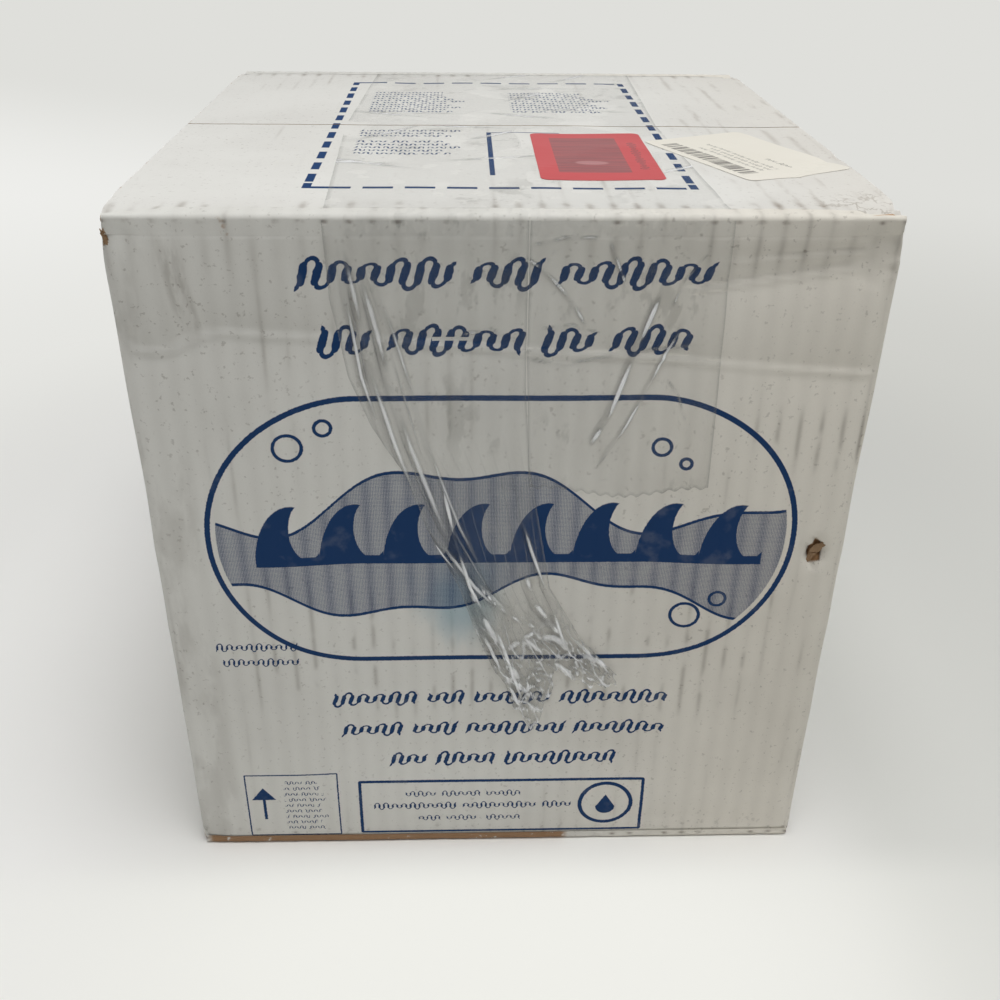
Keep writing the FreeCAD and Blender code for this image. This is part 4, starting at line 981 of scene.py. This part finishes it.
def aged(x):
    """the liner, which is yellower towards the right"""
    return blend(step(x, -20, 130), WHITE, YELLOWED)


def paper_dirt(finish, across, amount=1.0, grain_run=(1, 1, 0.18)):
    """grey share of the dirt on an outer liner, and the height of its flutes"""
    where = finish.where
    crest = flutes(across)
    patches = noise(where, 14, 4.0, 0.6)
    streaks = noise(where, 60, 3.0, 0.6, grain_run)
    specks = step(noise(where, 420, 2.0, 0.7), 0.61, 0.71)
    lines = crest ** 9 * step(streaks, 0.5, 0.72) * step(patches, 0.42, 0.62)
    cloud = step(noise(where, 7, 5.0, 0.62), 0.42, 0.75)
    grain = noise(where, 1500, 2.0, 0.5)
    dirt = 0.31 * lines + 0.13 * cloud + 0.5 * specks * patches + 0.07 * grain
    return dirt * amount, crest * 0.10 + grain * 0.03 + cloud * 0.15


def top_marks(x, z):
    return gathered(
        waves(x, z, 283.2, 9.6, ((-72, -20), (-10, 11), (21, 72)), 1.6, 5.2),
        waves(x, z, 257.0, 9.6, ((-68, -52), (-42, 5), (15, 31), (42, 68)), 1.6, 5.2))


def low_marks(x, z):
    """three rows, and two boxes: one with an arrow, one with a drop in a ring"""
    rows = gathered(
        waves(x, z, 87.4, 6.2, ((-73, -38), (-31, -17), (-10, 21), (28, 74)), 1.0, 3.5),
        waves(x, z, 69.4, 6.2, ((-70, -45), (-38, -21), (-14, 28), (35, 73)), 1.0, 3.5),
        waves(x, z, 51.4, 6.2, ((-50, -35), (-28, -3), (4, 53)), 1.0, 3.5))
    left_line, _ = frame_line(x, z, (-97, 24.5), (21.3, 19.5), 0.4, 0.35)
    arrow = largest(band(x, -111.2, -109.8) * band(z, 16, 29),
                    step(abs(x + 110.5) + (z - 36) * 0.75, 0.2, -0.1) * band(z, 28.5, 36))
    left_rows = rows_of_waves(x, z, (-101, -79, 8.5, 41), 3.6, 1.7, 0.3, 1.25)
    right_line, _ = frame_line(x, z, (1.2, 22.3), (66.6, 16), 0.4, 0.75)
    marks = gathered(
        rows, left_line, arrow, left_rows, right_line,
        waves(x, z, 30.8, 2.7, ((-43, -30), (-26, -9), (-5, 10)), 0.42, 1.9, 0),
        waves(x, z, 23.4, 3.4, ((-59, -22), (-17, 17), (22, 33)), 0.5, 2.1, 0),
        waves(x, z, 15.4, 2.7, ((-38, -29), (-24, -11), (-6, 10)), 0.42, 1.9, 0))
    side, rise = x - 50.5, z - 21.5
    narrow = 4.6 - largest(rise, 0) * 0.62
    drop = step(distance(side, least(rise, 0)) - narrow, 0.1, -0.1)
    return gathered(marks, ring(x, z, (50.5, 23.5), 12.2, 0.95), drop)


# %% The framed waves
def picture_marks(x, z):
    """an oval frame round a swell in fine dots, with a row of heavy breaking waves"""
    outline, gap = frame_line(x, z, (0, 172), (119, 62), 61.5, 1.15)
    inside = step(gap, -3.0, -3.4)
    top = 190 + 14 * sine(x * 0.035 + 2.2) + 5 * sine(x * 0.09)
    low = 143 + 9 * sine(x * 0.04 + 0.4) + 3 * sine(x * 0.11)
    under, above = z - top, z - low
    swell = step(under, 0.1, -0.1) * step(above, -0.1, 0.1)
    dots = sine((x + z) * (math.tau / 1.25)) * sine((x - z) * (math.tau / 1.25))
    swell = swell * (0.3 + 0.42 * step(dots, -0.25, 0.15) + 0.14 * flutes(x) ** 2)
    swell = gathered(swell, step(abs(under), 0.85, 0.6), step(abs(above), 0.85, 0.6))
    spacing, foot = 26, 159.5
    share = (x + 101) / spacing
    cell_x = (share - share.maths("FLOOR", share) - 0.5) * spacing
    cell_z = (z - foot) * 0.52
    crests = step(distance(cell_x - 2.4, cell_z + 1.0), 15.95, 15.65) \
        * step(distance(cell_x - 8.4, cell_z - 8.6), 6.85, 7.15) * (z > foot)
    crests = largest(crests, band(z, foot, 163.6)) * band(x, -101, 107, 0.1)
    bubbles = (ring(x, z, middle, radius, 0.7) for middle, radius in (
        ((-84, 214), 5.5), ((-70, 222), 3.2), ((78, 133), 6), ((91, 142), 3.4),
        ((62, 213), 3.6), ((72, 206), 2.2)))
    picture = gathered(swell, crests, *bubbles)
    return gathered(
        outline, inside * picture,
        waves(x, z, 118.4, 3.4, ((-121, -88),), 0.5, 2.1, 0.1),
        waves(x, z, 110.2, 3.4, ((-119, -88),), 0.5, 2.1, 0.1))


# %% Printed bands of the front
def printed(name, marks):
    finish = Finish(name, Roughness=0.62, Specular_IOR_Level=DULL)
    x, z = finish.x, finish.z
    where = finish.where
    shake = noise(where, 900, 2.0) - 0.5
    ink = marks(x + shake * 0.5, z - shake * 0.4)
    ink = ink * (0.985 - 0.06 * step(noise(where, 90, 4.0), 0.55, 0.7))
    dirt, height = paper_dirt(finish, x)
    flute = flutes(x)
    patch = noise(where, 40, 2.0)
    low = step(z, 14, 8) * flute ** 3 * step(noise(where, 260, 3.0, 0.6), 0.5, 0.7)
    left = step(x, -119, -127) * step(noise(where, 45, 4.0, 0.65, (1, 1, 0.35)), 0.46, 0.62)
    streaks = flute ** 7 * band(z, 80, 150, 12) * step(patch, 0.5, 0.6) \
        * band(x, -100, 110, 20)
    upper = flute ** 7 * band(z, 205, 228, 6) * step(patch, 0.42, 0.52) * step(x, 92, 105)
    # 0.05 * flute is a faint painted shade in bands at the pitch of the flutes; the rest is dirt
    grey = dirt + 0.05 * flute + 0.4 * low + 0.17 * left + 0.3 * streaks + 0.35 * upper
    if marks is top_marks:
        dots = flute ** 3 * band(z, 284, 303, 8) * step(patch, 0.4, 0.6)
        smear_x = (x + 117 + (z - 280) * 0.12) / 5
        smear = step(smear_x * smear_x, 1, 0.1) * band(z, 262, 294, 8) \
            * step(noise(where, 120, 4.0, 0.6, (1, 1, 0.3)), 0.4, 0.6)
        grey = grey + 0.12 * dots + 0.34 * smear
    paper = blend(least(grey, 0.9), aged(x), GRIME_AND_FLUTE_SHADE)
    if marks is picture_marks:
        across, up = x + 19, z - 141
        stain = step((across * across * 0.0019 + up * up * 0.0011) ** 0.5
                     - noise(where, 50, 4.0, 0.6, (1, 1, 0.4)) * 1.1, 0.5, -0.3)
        paper = blend(stain * 0.5, paper, colour(100, 150, 170))
        hole_x, hole_z = x - PUNCTURE[0], z - PUNCTURE[1]
        bare = step((hole_x * hole_x * 0.085 + hole_z * hole_z * 0.024) ** 0.5
                    + noise(where, 300, 3.0) * 0.5, 1.25, 1.0)
    elif marks is low_marks:
        bare = step(z + noise(where, 70, 3.0) * 6 - 0.012 * (x + 60), 6.4, 5.6) \
            * band(x, -139, 32, 2)
        bare = largest(bare, step(abs(x) - z * 0.5 + noise(where, 150, 3.0) * 7, 143.0, 144.2))
    else:
        bare = step(abs(x) + (z - 303) * 0.6 + noise(where, 150, 3.0) * 7, 143.2, 144.5)
    paper = blend(ink, paper, NAVY)
    # the bare board shows its flute ribs, with painted shade between them
    ribs = step(sine(x * (math.tau / FLUTE)) * 0.5 + noise(where, 200), 0.3, 0.8)
    paper = blend(bare, paper, blend(ribs, *BARE_BOARD_AND_RIB_SHADE))
    print(name, "has", len(finish.tree.nodes), "nodes")
    return finish.paint(paper, height, 0.5, 0.0008)


plain_board = Finish("white_liner_plain", Roughness=0.62, Specular_IOR_Level=DULL)
around_side = step(abs(plain_board.x), 141.5, 142.0)
dirt, height = paper_dirt(plain_board, plain_board.x * (1 - around_side)
                          + plain_board.y * around_side)
plain_board.paint(blend(dirt, WHITE, GRIME_AND_FLUTE_SHADE), height, 0.5, 0.0008)
for place, finish in enumerate((printed("printed_board_low", low_marks),
                                printed("printed_board_picture", picture_marks),
                                printed("printed_board_top", top_marks), plain_board)):
    sleeve.data.materials[place] = finish.material

# %% [markdown]
# ### The lid's print, the brown side and the cut edges
# The lid carries a dashed frame with a short heavy bar and rows of small marks. The brown
# liner has the fine stripes of its flutes. On a cut edge, a sine line in a dark gap between
# two pale lines is the whole look of corrugated board.

# %% Outer liner of the lid
lid_top = Finish("white_liner_lid", Roughness=0.6, Specular_IOR_Level=DULL)
x, y = lid_top.x, lid_top.y
row = band(abs(y), 112.0, 114.8)
dashes = step(sine((x + 67) * (math.tau / 15.75)), -0.67, -0.61) * band(x, -75.6, 73.2)
dash_row = row * largest(dashes, band(x, -75.6, -67.8))
side_dash = step(sine((y + 104) * (math.tau / 19.2)), -0.44, -0.38) * band(y, -114.8, 114.8)
side_dash = largest(side_dash, band(abs(y), 107.2, 114.8))
columns = largest(band(x, -75.6, -72.3), band(x, 70.0, 73.2)) * side_dash
bar = gathered(band(x, -5.0, -2.9) * band(y, -94.4, -15.6),
               band(y, -15.6, -14.6) * band(x, -5, 28))
blocks = (-62, -12, -60, -32), (-62, -12, -26, -9.2), (-62, -12, 30, 86), (8, 62, 30, 86)
lid_rows = gathered(*(rows_of_waves(x, y, box, 5.6, 3.1, 0.46, 1.9) for box in blocks))
lid_ink = gathered(dash_row, columns, bar, lid_rows)
dirt, height = paper_dirt(lid_top, x, 0.9, (1, 0.12, 1))
near_fold = step(abs(y), 122, 147)
dots = flutes(x) ** 3 * band(abs(y), 134, 146, 4) \
    * step(noise(lid_top.where, 60, 2.0), 0.42, 0.6)
right_smudge = flutes(x) ** 3 * step(x, 70, 100) \
    * step(noise(lid_top.where, 90, 3.0, 0.6, (1, 0.3, 1)), 0.5, 0.65)
corner_x, corner_y = x - 136, y + 140
crumpled = step(corner_x * corner_x + corner_y * corner_y, 900, 60)
# grey lines along the creases of the crushed corner are painted shade in those creases
lines = step(abs(noise(lid_top.where, 120, 3.0, 0.6) - 0.5), 0.035, 0.0) * crumpled
grey = least(dirt + 0.4 * dots + 0.26 * right_smudge + near_fold * 0.05 + 0.45 * lines, 0.85)
paper = blend(grey, colour(224, 223, 218), colour(124, 112, 100))
paper = blend(step(x, 60, 150) * 0.12, paper, colour(190, 170, 140))
paper = blend(lid_ink, paper, NAVY)
worn = step(least(142.6 - abs(x), 146.4 - abs(y))
            + noise(lid_top.where, 160, 3.0) * 4, 2.6, 1.6)
lid_top.paint(blend(worn * 0.75, paper, colour(160, 128, 96)), height, 0.5, 0.0008)
print("lid finish has", len(lid_top.tree.nodes), "nodes")

# %% Brown liner and cut edge
GAP_SHADOW = colour(58, 42, 30)
CUT_PAPER = colour(150, 120, 86), colour(198, 168, 132)


def kraft(name, across, shade=1.0):
    finish = Finish(name, Roughness=0.8)
    stripe = flutes(getattr(finish, across))
    fibre = noise(finish.where, 340, 4.0, 0.65, (1, 1, 0.35))
    cloud = noise(finish.where, 18, 3.0)
    share = 0.25 * stripe + 0.5 * fibre + 0.35 * cloud
    tint = blend(share, colour(150 * shade, 116 * shade, 80 * shade),
                 colour(196 * shade, 160 * shade, 122 * shade))
    return finish.paint(tint, stripe * 0.2 + fibre * 0.4, 0.4, 0.0006)


def flute_line(off, lane):
    """the sine of the flute between two liners; off runs from -1 to 1 through the board"""
    wave = 0.62 * sine(lane * (math.tau / FLUTE))
    return largest(step(abs(off - wave), 0.34, 0.16), step(abs(off), 0.72, 0.84))


wall_inside = kraft("kraft_liner_walls", "x")
flap_inside = kraft("kraft_liner_flaps", "x")
lid_edge = Finish("cut_edge_lid", Roughness=0.85)
sheet = flute_line((lid_edge.z - (TOP - BOARD / 2)) / 2, lid_edge.x)
fibre = noise(lid_edge.where, 500, 3.0)
lid_edge.paint(blend(sheet, GAP_SHADOW, blend(fibre, *CUT_PAPER)), sheet + fibre * 0.2,
               0.6, 0.0012)
sleeve.data.materials[4] = wall_inside.material
for flap in (front_lid_board, rear_lid_board):
    flap.data.materials[0] = lid_top.material
    flap.data.materials[1] = flap_inside.material
    flap.data.materials[2] = lid_edge.material
print("brown liners and cut edge done")

# %% [markdown]
# ### Fold strips
# The liner over a fold is dimpled at the pitch of the flutes, and dirt sits in the dimples.
# At the foot of the front the liner has worn off the fold and shows brown.

# %% Finish of the folds
def fold_finish(name, across, level, brown=False):
    finish = Finish(name, Roughness=0.6, Specular_IOR_Level=DULL)
    lane = getattr(finish, across)
    dirt, height = paper_dirt(finish, lane)
    flute = flutes(lane)
    spots = noise(finish.where, 220, 3.0, 0.6)
    patch = noise(finish.where, 40, 2.0)
    shift = noise(finish.where, 130, 3.0, 0.6)
    dot = flute ** 4 * step(abs(finish.z - level + shift * 1.6 - 0.8), 1.2, 0.1) \
        * step(shift * 0.5 + patch * 0.5, 0.44, 0.58)
    smudge = flute ** 4 * step(abs(finish.y), 143.5, 141) * step(patch, 0.42, 0.6)
    # 0.05 * flute is a faint painted shade in bands at the pitch of the flutes
    tint = blend(least(dirt + 0.05 * flute, 0.9), aged(finish.x), GRIME_AND_FLUTE_SHADE)
    tint = blend(least(0.34 * smudge + 0.62 * dot, 0.9), tint, colour(100, 84, 74))
    rub = step(noise(finish.where, 55, 4.0, 0.7), 0.68, 0.74)
    if brown:
        rub = band(finish.x, -139, 32, 2) * step(finish.y, -140, -141)
        rub = rub * step(spots, 0.3, 0.4) * 1.6
    tint = blend(rub * 0.6, tint, colour(150, 116, 84))
    return finish.paint(tint, height + spots * 0.06 - dot * 0.2, 0.6, 0.0008)


fold_x = fold_finish("fold_liner_long", "x", 302.5)
fold_y = fold_finish("fold_liner_side", "y", 297.2)
low_x = fold_finish("bottom_fold_long", "x", 3, True)
low_y = fold_finish("bottom_fold_side", "y", 7)
for name, strip in strips.items():
    strip.data.materials.clear()
    long_side = "front" in name or "rear" in name
    if "bottom" in name:
        finish = low_x if long_side else low_y
    else:
        finish = fold_x if long_side else fold_y
    strip.data.materials.append(finish.material)
print("fold strips", len(strips))

# %% [markdown]
# ## Film, labels and scraps
# Packing film is nearly clear. What the eye sees is its gloss, a faint grey where the glue
# is cloudy, and white where it is crumpled. Along its ridges that white is partly a painted
# highlight, and a painted grey shade runs beside them. So the shader is glossy with a low
# alpha that rises in cloudy patches and under the painted highlight and shade. The labels
# repeat bars and small rows in their own turned coordinates, which a Mapping node gives.

# %% Clear film
film = Finish("clear_film", Roughness=0.16)
shine, shade, rim = (film.where.node("ShaderNodeAttribute", {"attribute_name": layer}, out=2)
                     for layer in ("shine", "shade", "rim"))
patches = noise(film.where, 75, 4.0, 0.65, (1, 1, 0.5))
cloud = step(patches, 0.54, 0.6) * step(noise(film.where, 15, 2.0), 0.48, 0.6)
scratch = noise(film.where, 300, 3.0, 0.6, (1, 1, 0.1))
tint = blend(cloud, colour(168, 169, 166), colour(140, 140, 134))
# shade paints a grey shade beside the ridges, and shine paints white highlights on them
tint = blend(step(shade, 0.1, 0.6), tint, colour(104, 105, 104))
tint = blend(step(shine, 0.15, 0.5), tint, colour(252, 253, 254))
film.paint(tint, scratch * 0.3 + patches * 0.7, 0.25, 0.0006)
film.link(least(0.025 + 0.06 * cloud + 0.03 * scratch + 0.12 * rim
                + 0.07 * shade + 0.75 * shine, 0.9), "Alpha")
film.link(0.1 + 0.2 * patches, "Roughness")
for piece in (left_film, right_film, rear_film, front_lid_film, rear_lid_film,
              front_fold_film, rear_fold_film):
    piece.data.materials.clear()
    piece.data.materials.append(film.material)

# %% Label prints
red = Finish("red_label_print", Roughness=0.36, Specular_IOR_Level=0.3)
x, y = red.x - RED_PLACE[0], red.y - RED_PLACE[1]
bars = step(noise(red.where.node("ShaderNodeCombineXYZ", {}, {0: x * 0.01, 1: y}), 0.8,
                  3.0, 0.8), 0.44, 0.5)
block = band(x, -16.5, 12.5) * band(y, -30, 33)
marks = waves(y, x, 18.5, 3.0, ((-24, 22),), 0.5, 1.9, 0.0)
cloud = noise(red.where, 45, 3.0)
tint = blend(cloud * 0.6, colour(184, 28, 38), colour(198, 48, 58))
tint = blend(block * 0.5, tint, colour(140, 82, 84))
tint = blend(block * bars * 0.62, tint, colour(84, 34, 42))
tint = blend(marks * 0.8, tint, colour(70, 28, 36))
glare_x, glare_y = x + 2, y + 14
glare = step((glare_x * glare_x * 0.02 + glare_y * glare_y * 0.09) ** 0.5, 1.1, 0.8)
red.paint(blend(glare * 0.35, tint, colour(214, 160, 160)), cloud, 0.3, 0.0006)
red_sheet.data.materials.append(red.material)

cream = Finish("cream_label_print", Roughness=0.5)
local = cream.where.node("ShaderNodeMapping", {"vector_type": "TEXTURE"},
                         {"Vector": cream.where, "Rotation": (0, 0, math.radians(CREAM_TURN)),
                          "Location": (CREAM_PLACE[0] / 1000, CREAM_PLACE[1] / 1000, 0)})
x, y, _ = local.parts()
x, y = x * 1000, y * 1000
lines = step(noise(cream.where.node("ShaderNodeCombineXYZ", {}, {1: y}), 0.62, 2.0, 0.8),
             0.47, 0.5)
code = lines * band(x, -21.5, -13.5) * band(y, -28, 30)
rows_small = rows_of_waves(y, x, (-26, 28, -11, -1), 3.4, 1.7, 0.28, 1.2)
rows_end = rows_of_waves(y, x, (-26, -6, 3, 7), 3.6, 2.0, 0.34, 1.4)
cloud = noise(cream.where, 40, 3.0)
tint = blend(cloud * 0.6, colour(229, 225, 214), colour(216, 210, 196))
ink = gathered(code, rows_small, rows_end) * 0.85
cream.paint(blend(ink, tint, colour(60, 54, 50)), cloud, 0.2, 0.0006)
cream_sheet.data.materials.append(cream.material)
scrap_kraft = kraft("torn_kraft", "z", 0.8)
for piece in scraps:
    piece.data.materials.append(scrap_kraft.material)
print("labels and scraps finished")

# %% [markdown]
# ## What is inside
# The packing and the blower keep their CAD meshes, because their shapes are already right.
# They get finishes that read object coordinates: brown board for posts and pad, zinc with
# its large crystals, moulded plastic with a fine texture, open foam, cast and pressed
# aluminium, laminated steel, wound copper.

# %% Board pieces of the packing
posts = kraft("post_board", "z", 0.95)
pad_finish = kraft("pad_board", "x", 0.9)


def flap_board(name, sign, middle, across="y"):
    """a CAD flap: white outside, brown inside, flute on its cut edge"""
    finish = Finish(name, Roughness=0.75)
    facing = finish.where.node("ShaderNodeTexCoord", out=1)
    tilt = facing.parts()[2] * sign
    outside = step(tilt, 0.4, 0.6)
    inside = step(tilt, -0.4, -0.6)
    lane = getattr(finish, across)
    fibre = noise(finish.where, 320, 3.0, 0.6)
    sheet = flute_line((finish.z - middle) / 2, lane)
    tint = blend(sheet, GAP_SHADOW, blend(fibre, *CUT_PAPER))
    tint = blend(inside, tint, blend(fibre, colour(158, 124, 88), colour(192, 156, 118)))
    dirt, height = paper_dirt(finish, lane)
    tint = blend(outside, tint, blend(dirt, colour(226, 225, 220), GRIME_AND_FLUTE_SHADE))
    return finish.paint(tint, height + fibre * 0.05, 0.5, 0.0008)


dust = flap_board("dust_flap_board", 1, DUST_LEVEL)
low_flaps = flap_board("bottom_flap_board", -1, BOARD / 2, "x")
upper_flaps = flap_board("bottom_dust_board", -1, BOARD * 1.5)
leaflet = Finish("leaflet_paper", Roughness=0.6)
rows_leaf = rows_of_waves(leaflet.y, leaflet.z, (-62, 62, 30, 205), 5.2, 2.4, 0.32, 1.5)
leaflet.paint(blend(rows_leaf * 0.8, colour(232, 231, 226), colour(70, 70, 76)),
              noise(leaflet.where, 60, 3.0), 0.2, 0.001)

# %% Metal and plastic
zinc = Finish("zinc_spangle", Metallic=0.9)
cells = zinc.where.node("ShaderNodeTexVoronoi", {}, {"Vector": zinc.where, "Scale": 170.0})
spangle = noise(zinc.where, 120, 3.0)
zinc.paint(blend(cells * 0.8 + spangle * 0.3, colour(176, 180, 184), colour(206, 209, 212)),
           spangle, 0.1, 0.0004)
zinc.link(0.3 + 0.2 * spangle, "Roughness")


def moulded(name, dark, light, rough, scale=900, strength=0.25):
    finish = Finish(name)
    grain = noise(finish.where, scale, 2.0, 0.6)
    cloud = noise(finish.where, 26, 3.0)
    finish.link(rough + 0.12 * grain, "Roughness")
    return finish.paint(blend(0.5 * grain + 0.6 * cloud, dark, light), grain, strength, 0.0003)


housing = moulded("housing_plastic_grain", colour(34, 34, 36), colour(52, 52, 55), 0.42)
valve = moulded("valve_plastic_gloss", colour(216, 218, 220), colour(232, 234, 235), 0.28, 300)
deck = moulded("deck_plastic_grain", colour(84, 87, 92), colour(108, 110, 114), 0.5)
rubber = moulded("rubber_matt", colour(26, 26, 26), colour(44, 43, 42), 0.75, 700)
carbon = moulded("carbon_block", colour(30, 30, 32), colour(56, 56, 60), 0.55, 1400)

foam = Finish("open_foam", Roughness=0.95)
pores = foam.where.node("ShaderNodeTexVoronoi", {}, {"Vector": foam.where, "Scale": 620.0})
foam.paint(blend(pores * 1.3, colour(24, 24, 26), colour(82, 82, 86)), pores, 0.9, 0.0012)


def metal(name, dark, light, rough, stretch, scale=240, strength=0.15):
    finish = Finish(name, Metallic=1.0)
    grain = noise(finish.where, scale, 4.0, 0.6, stretch)
    finish.link(rough + 0.22 * grain, "Roughness")
    return finish.paint(blend(grain, dark, light), grain, strength, 0.0004)


aluminium = metal("cast_aluminium", colour(168, 170, 172), colour(205, 206, 208), 0.32,
                  (1, 1, 1))
steel = metal("ground_steel", colour(128, 130, 134), colour(176, 178, 182), 0.24, (1, 1, 6))
laminated = metal("laminated_steel", colour(74, 74, 78), colour(140, 141, 146), 0.4,
                  (0.2, 0.2, 9), 300, 0.5)
copper = metal("wound_copper", colour(128, 62, 34), colour(196, 112, 66), 0.3,
               (0.3, 0.3, 7), 380, 0.7)

FINISHES = {
    posts: "front_left_post front_right_post rear_left_post rear_right_post",
    pad_finish: "bottom_pad",
    dust: "left_dust_flap right_dust_flap",
    low_flaps: "front_bottom_flap rear_bottom_flap",
    upper_flaps: "left_bottom_flap right_bottom_flap",
    leaflet: "instruction_leaflet",
    zinc: "wall_bracket cover_screw_1 cover_screw_2 cover_screw_3 cover_screw_4 fan_housing",
    housing: "blower_cover blower_base terminal_box terminal_lid",
    valve: "valve_body valve_cap valve_poppet",
    deck: "motor_deck stage_diffuser brush_holder_1 brush_holder_2 conduit_plug",
    rubber: "poppet_seal motor_gasket",
    carbon: "carbon_brush_1 carbon_brush_2",
    foam: "intake_foam",
    aluminium: "lower_impeller upper_impeller impeller_spacer upper_bracket lower_bracket",
    steel: "motor_shaft shaft_nut upper_bearing lower_bearing",
    laminated: "field_laminations armature_laminations",
    copper: "field_coil_1 field_coil_2 armature_winding commutator",
}
for finish, names in FINISHES.items():
    for name in names.split():
        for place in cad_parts[name].material_slots:
            place.material = finish.material
coil.data.materials.append(steel.material)
print("CAD nodes with a finish", len(" ".join(FINISHES.values()).split()))

# %% [markdown]
# ## Joining the pieces to the frame
# Most pieces ride on the body that carries them. The strips over the upper folds, and the film
# over the lid's folds, only have their places baked into their points.

# %% Ride, bake and replace
def carried(piece, body, slot, *nodes):
    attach(piece, body)
    if nodes:
        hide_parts(*nodes)


carried(sleeve, "carton", "board", "carton_sleeve")
carried(front_lid_board, "front_lid", "board", "front_top_flap")
carried(rear_lid_board, "rear_lid", "board", "rear_top_flap")
carried(left_film, "carton", "tape", "front_wall_tape")
carried(right_film, "carton", "tape", "front_wall_tape")
carried(front_lid_film, "front_lid", "tape", "front_flap_tape")
carried(rear_lid_film, "rear_lid", "tape", "rear_flap_tape")
carried(rear_film, "carton", "tape", "rear_wall_tape")
carried(red_sheet, "front_lid", "red_paper", "red_label")
carried(cream_sheet, "front_lid", "cream_paper", "paper_label")
for piece in scraps:
    carried(piece, "carton", "kraft")
carried(coil, "carton", "steel", "valve_spring")
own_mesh(coil)
for name, strip in strips.items():
    if "bottom" in name:
        carried(strip, "carton", "board")


def over_fold(piece):
    """bakes the strip's place into its points"""
    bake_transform(piece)


over_fold(strips["front_fold_liner"])
over_fold(front_fold_film)
over_fold(strips["rear_fold_liner"])
over_fold(rear_fold_film)
over_fold(strips["left_dust_liner"])
over_fold(strips["right_dust_liner"])
print("pieces ride on their bodies")

# %% [markdown]
# ## Floor and light
# The carton stands on a pale table in soft daylight. One large lamp overhead lights the lid,
# two weak ones light the sides, and the world fills the rest. The floor is one large plane.
# Near the carton it takes light and shadow, and its colour adds painted light on the left and
# painted shade on the right. Further off it turns into the pale tone that such a photograph
# has behind its object, with painted light in front of the carton and far back on the left,
# and painted shade on the right.

# %% Floor, lamps and world
def looked_at(tree):
    """1 where a ray shows the background, 0 where it carries light to the carton"""
    path = tree.nodes.new("ShaderNodeLightPath").outputs
    rays = "Is Camera Ray", "Is Glossy Ray", "Is Transmission Ray"
    return gathered(*(Flow(tree, path[ray]) for ray in rays))


floor = fresh(bpy.ops.mesh.primitive_plane_add, "floor", size=14)
floor_finish = Finish("pale_table", Roughness=0.7)
table_noise = noise(floor_finish.where, 3.0, 2.0)
x, y = floor_finish.x, floor_finish.y
pale = blend(table_noise, colour(236, 235, 231), colour(240, 239, 235))
# lighter to the left and darker to the right: painted light and painted shade in the table's
# colour
pale = blend(step(x, -120, -240), pale, colour(250, 249, 246))
floor_finish.link(blend(step(x, 140, 200), pale, colour(221, 221, 216)), "Base Color")
away = distance(largest(abs(x) - 142, 0), largest(abs(y) - 150, 0))
# glow is a painted pool of light in front of the carton; there it also replaces the lit table and
# its contact shadow
glow = step(distance(x * 0.8, (y + 230) * 1.3), 340, 60)
far = largest(step(away, 60, 420), step(y, -150, -182) * glow * 0.85)
# the tone further off is painted light and shade: darker to the right, brighter in front of the
# carton and far back on the left
tone = blend(step(x, 200, -300), colour(207, 207, 202), colour(228, 228, 224))
tone = blend(step(y, -100, -700), tone, colour(224, 224, 220))
tone = blend(glow, tone, colour(241, 241, 235))
tone = blend(step(y - x * 0.6, 500, 1500), tone, colour(238, 238, 235))
tone = blend(step(y + x * 0.6, 600, 1500), tone, colour(223, 223, 219))
lit_table = Flow(floor_finish.tree, floor_finish.shader.outputs[0])
painted_backdrop = tone.node("ShaderNodeEmission", {}, {"Color": tone, "Strength": 1.0})
mixed = far.node("ShaderNodeMixShader", {}, {0: far * looked_at(floor_finish.tree),
                                             1: lit_table, 2: painted_backdrop})
output = floor_finish.tree.nodes["Material Output"]
floor_finish.tree.links.new(mixed.socket, output.inputs["Surface"])
floor.data.materials.append(floor_finish.material)


def lamp(name, place, aim, size, power):
    data = bpy.data.lights.new(name, "AREA")
    data.shape = "DISK"
    data.size = size
    data.energy = power
    light = bpy.data.objects.new(name, data)
    bpy.context.scene.collection.objects.link(light)
    light.location = place
    light.rotation_euler = (Vector(aim) - Vector(place)).to_track_quat("-Z", "Y").to_euler()


lamp("overhead", (0.1, -0.38, 1.75), (0, -0.1, 0.2), 1.1, 21)
lamp("left_side", (-1.6, -0.5, 0.9), (0, 0, 0.15), 0.9, 1.4)
lamp("right_side", (1.8, -0.25, 0.6), (0, 0, 0.15), 0.7, 2.6)
world = bpy.data.worlds.new("daylight")
world.use_nodes = True
sky = world.node_tree
sky.nodes["Background"].inputs["Color"].default_value = (0.97, 0.985, 1, 1)
sky.nodes["Background"].inputs["Strength"].default_value = 0.19
light = Flow(sky, sky.nodes["Background"].outputs[0])
shown = light.node("ShaderNodeBackground", {}, {"Color": (*colour(222, 222, 219), 1)})
both = light.node("ShaderNodeMixShader", {}, {0: looked_at(sky), 1: light, 2: shown})
sky.links.new(both.socket, sky.nodes["World Output"].inputs["Surface"])
bpy.context.scene.world = world
bpy.context.scene.view_settings.view_transform = "Standard"
print("lamps placed")
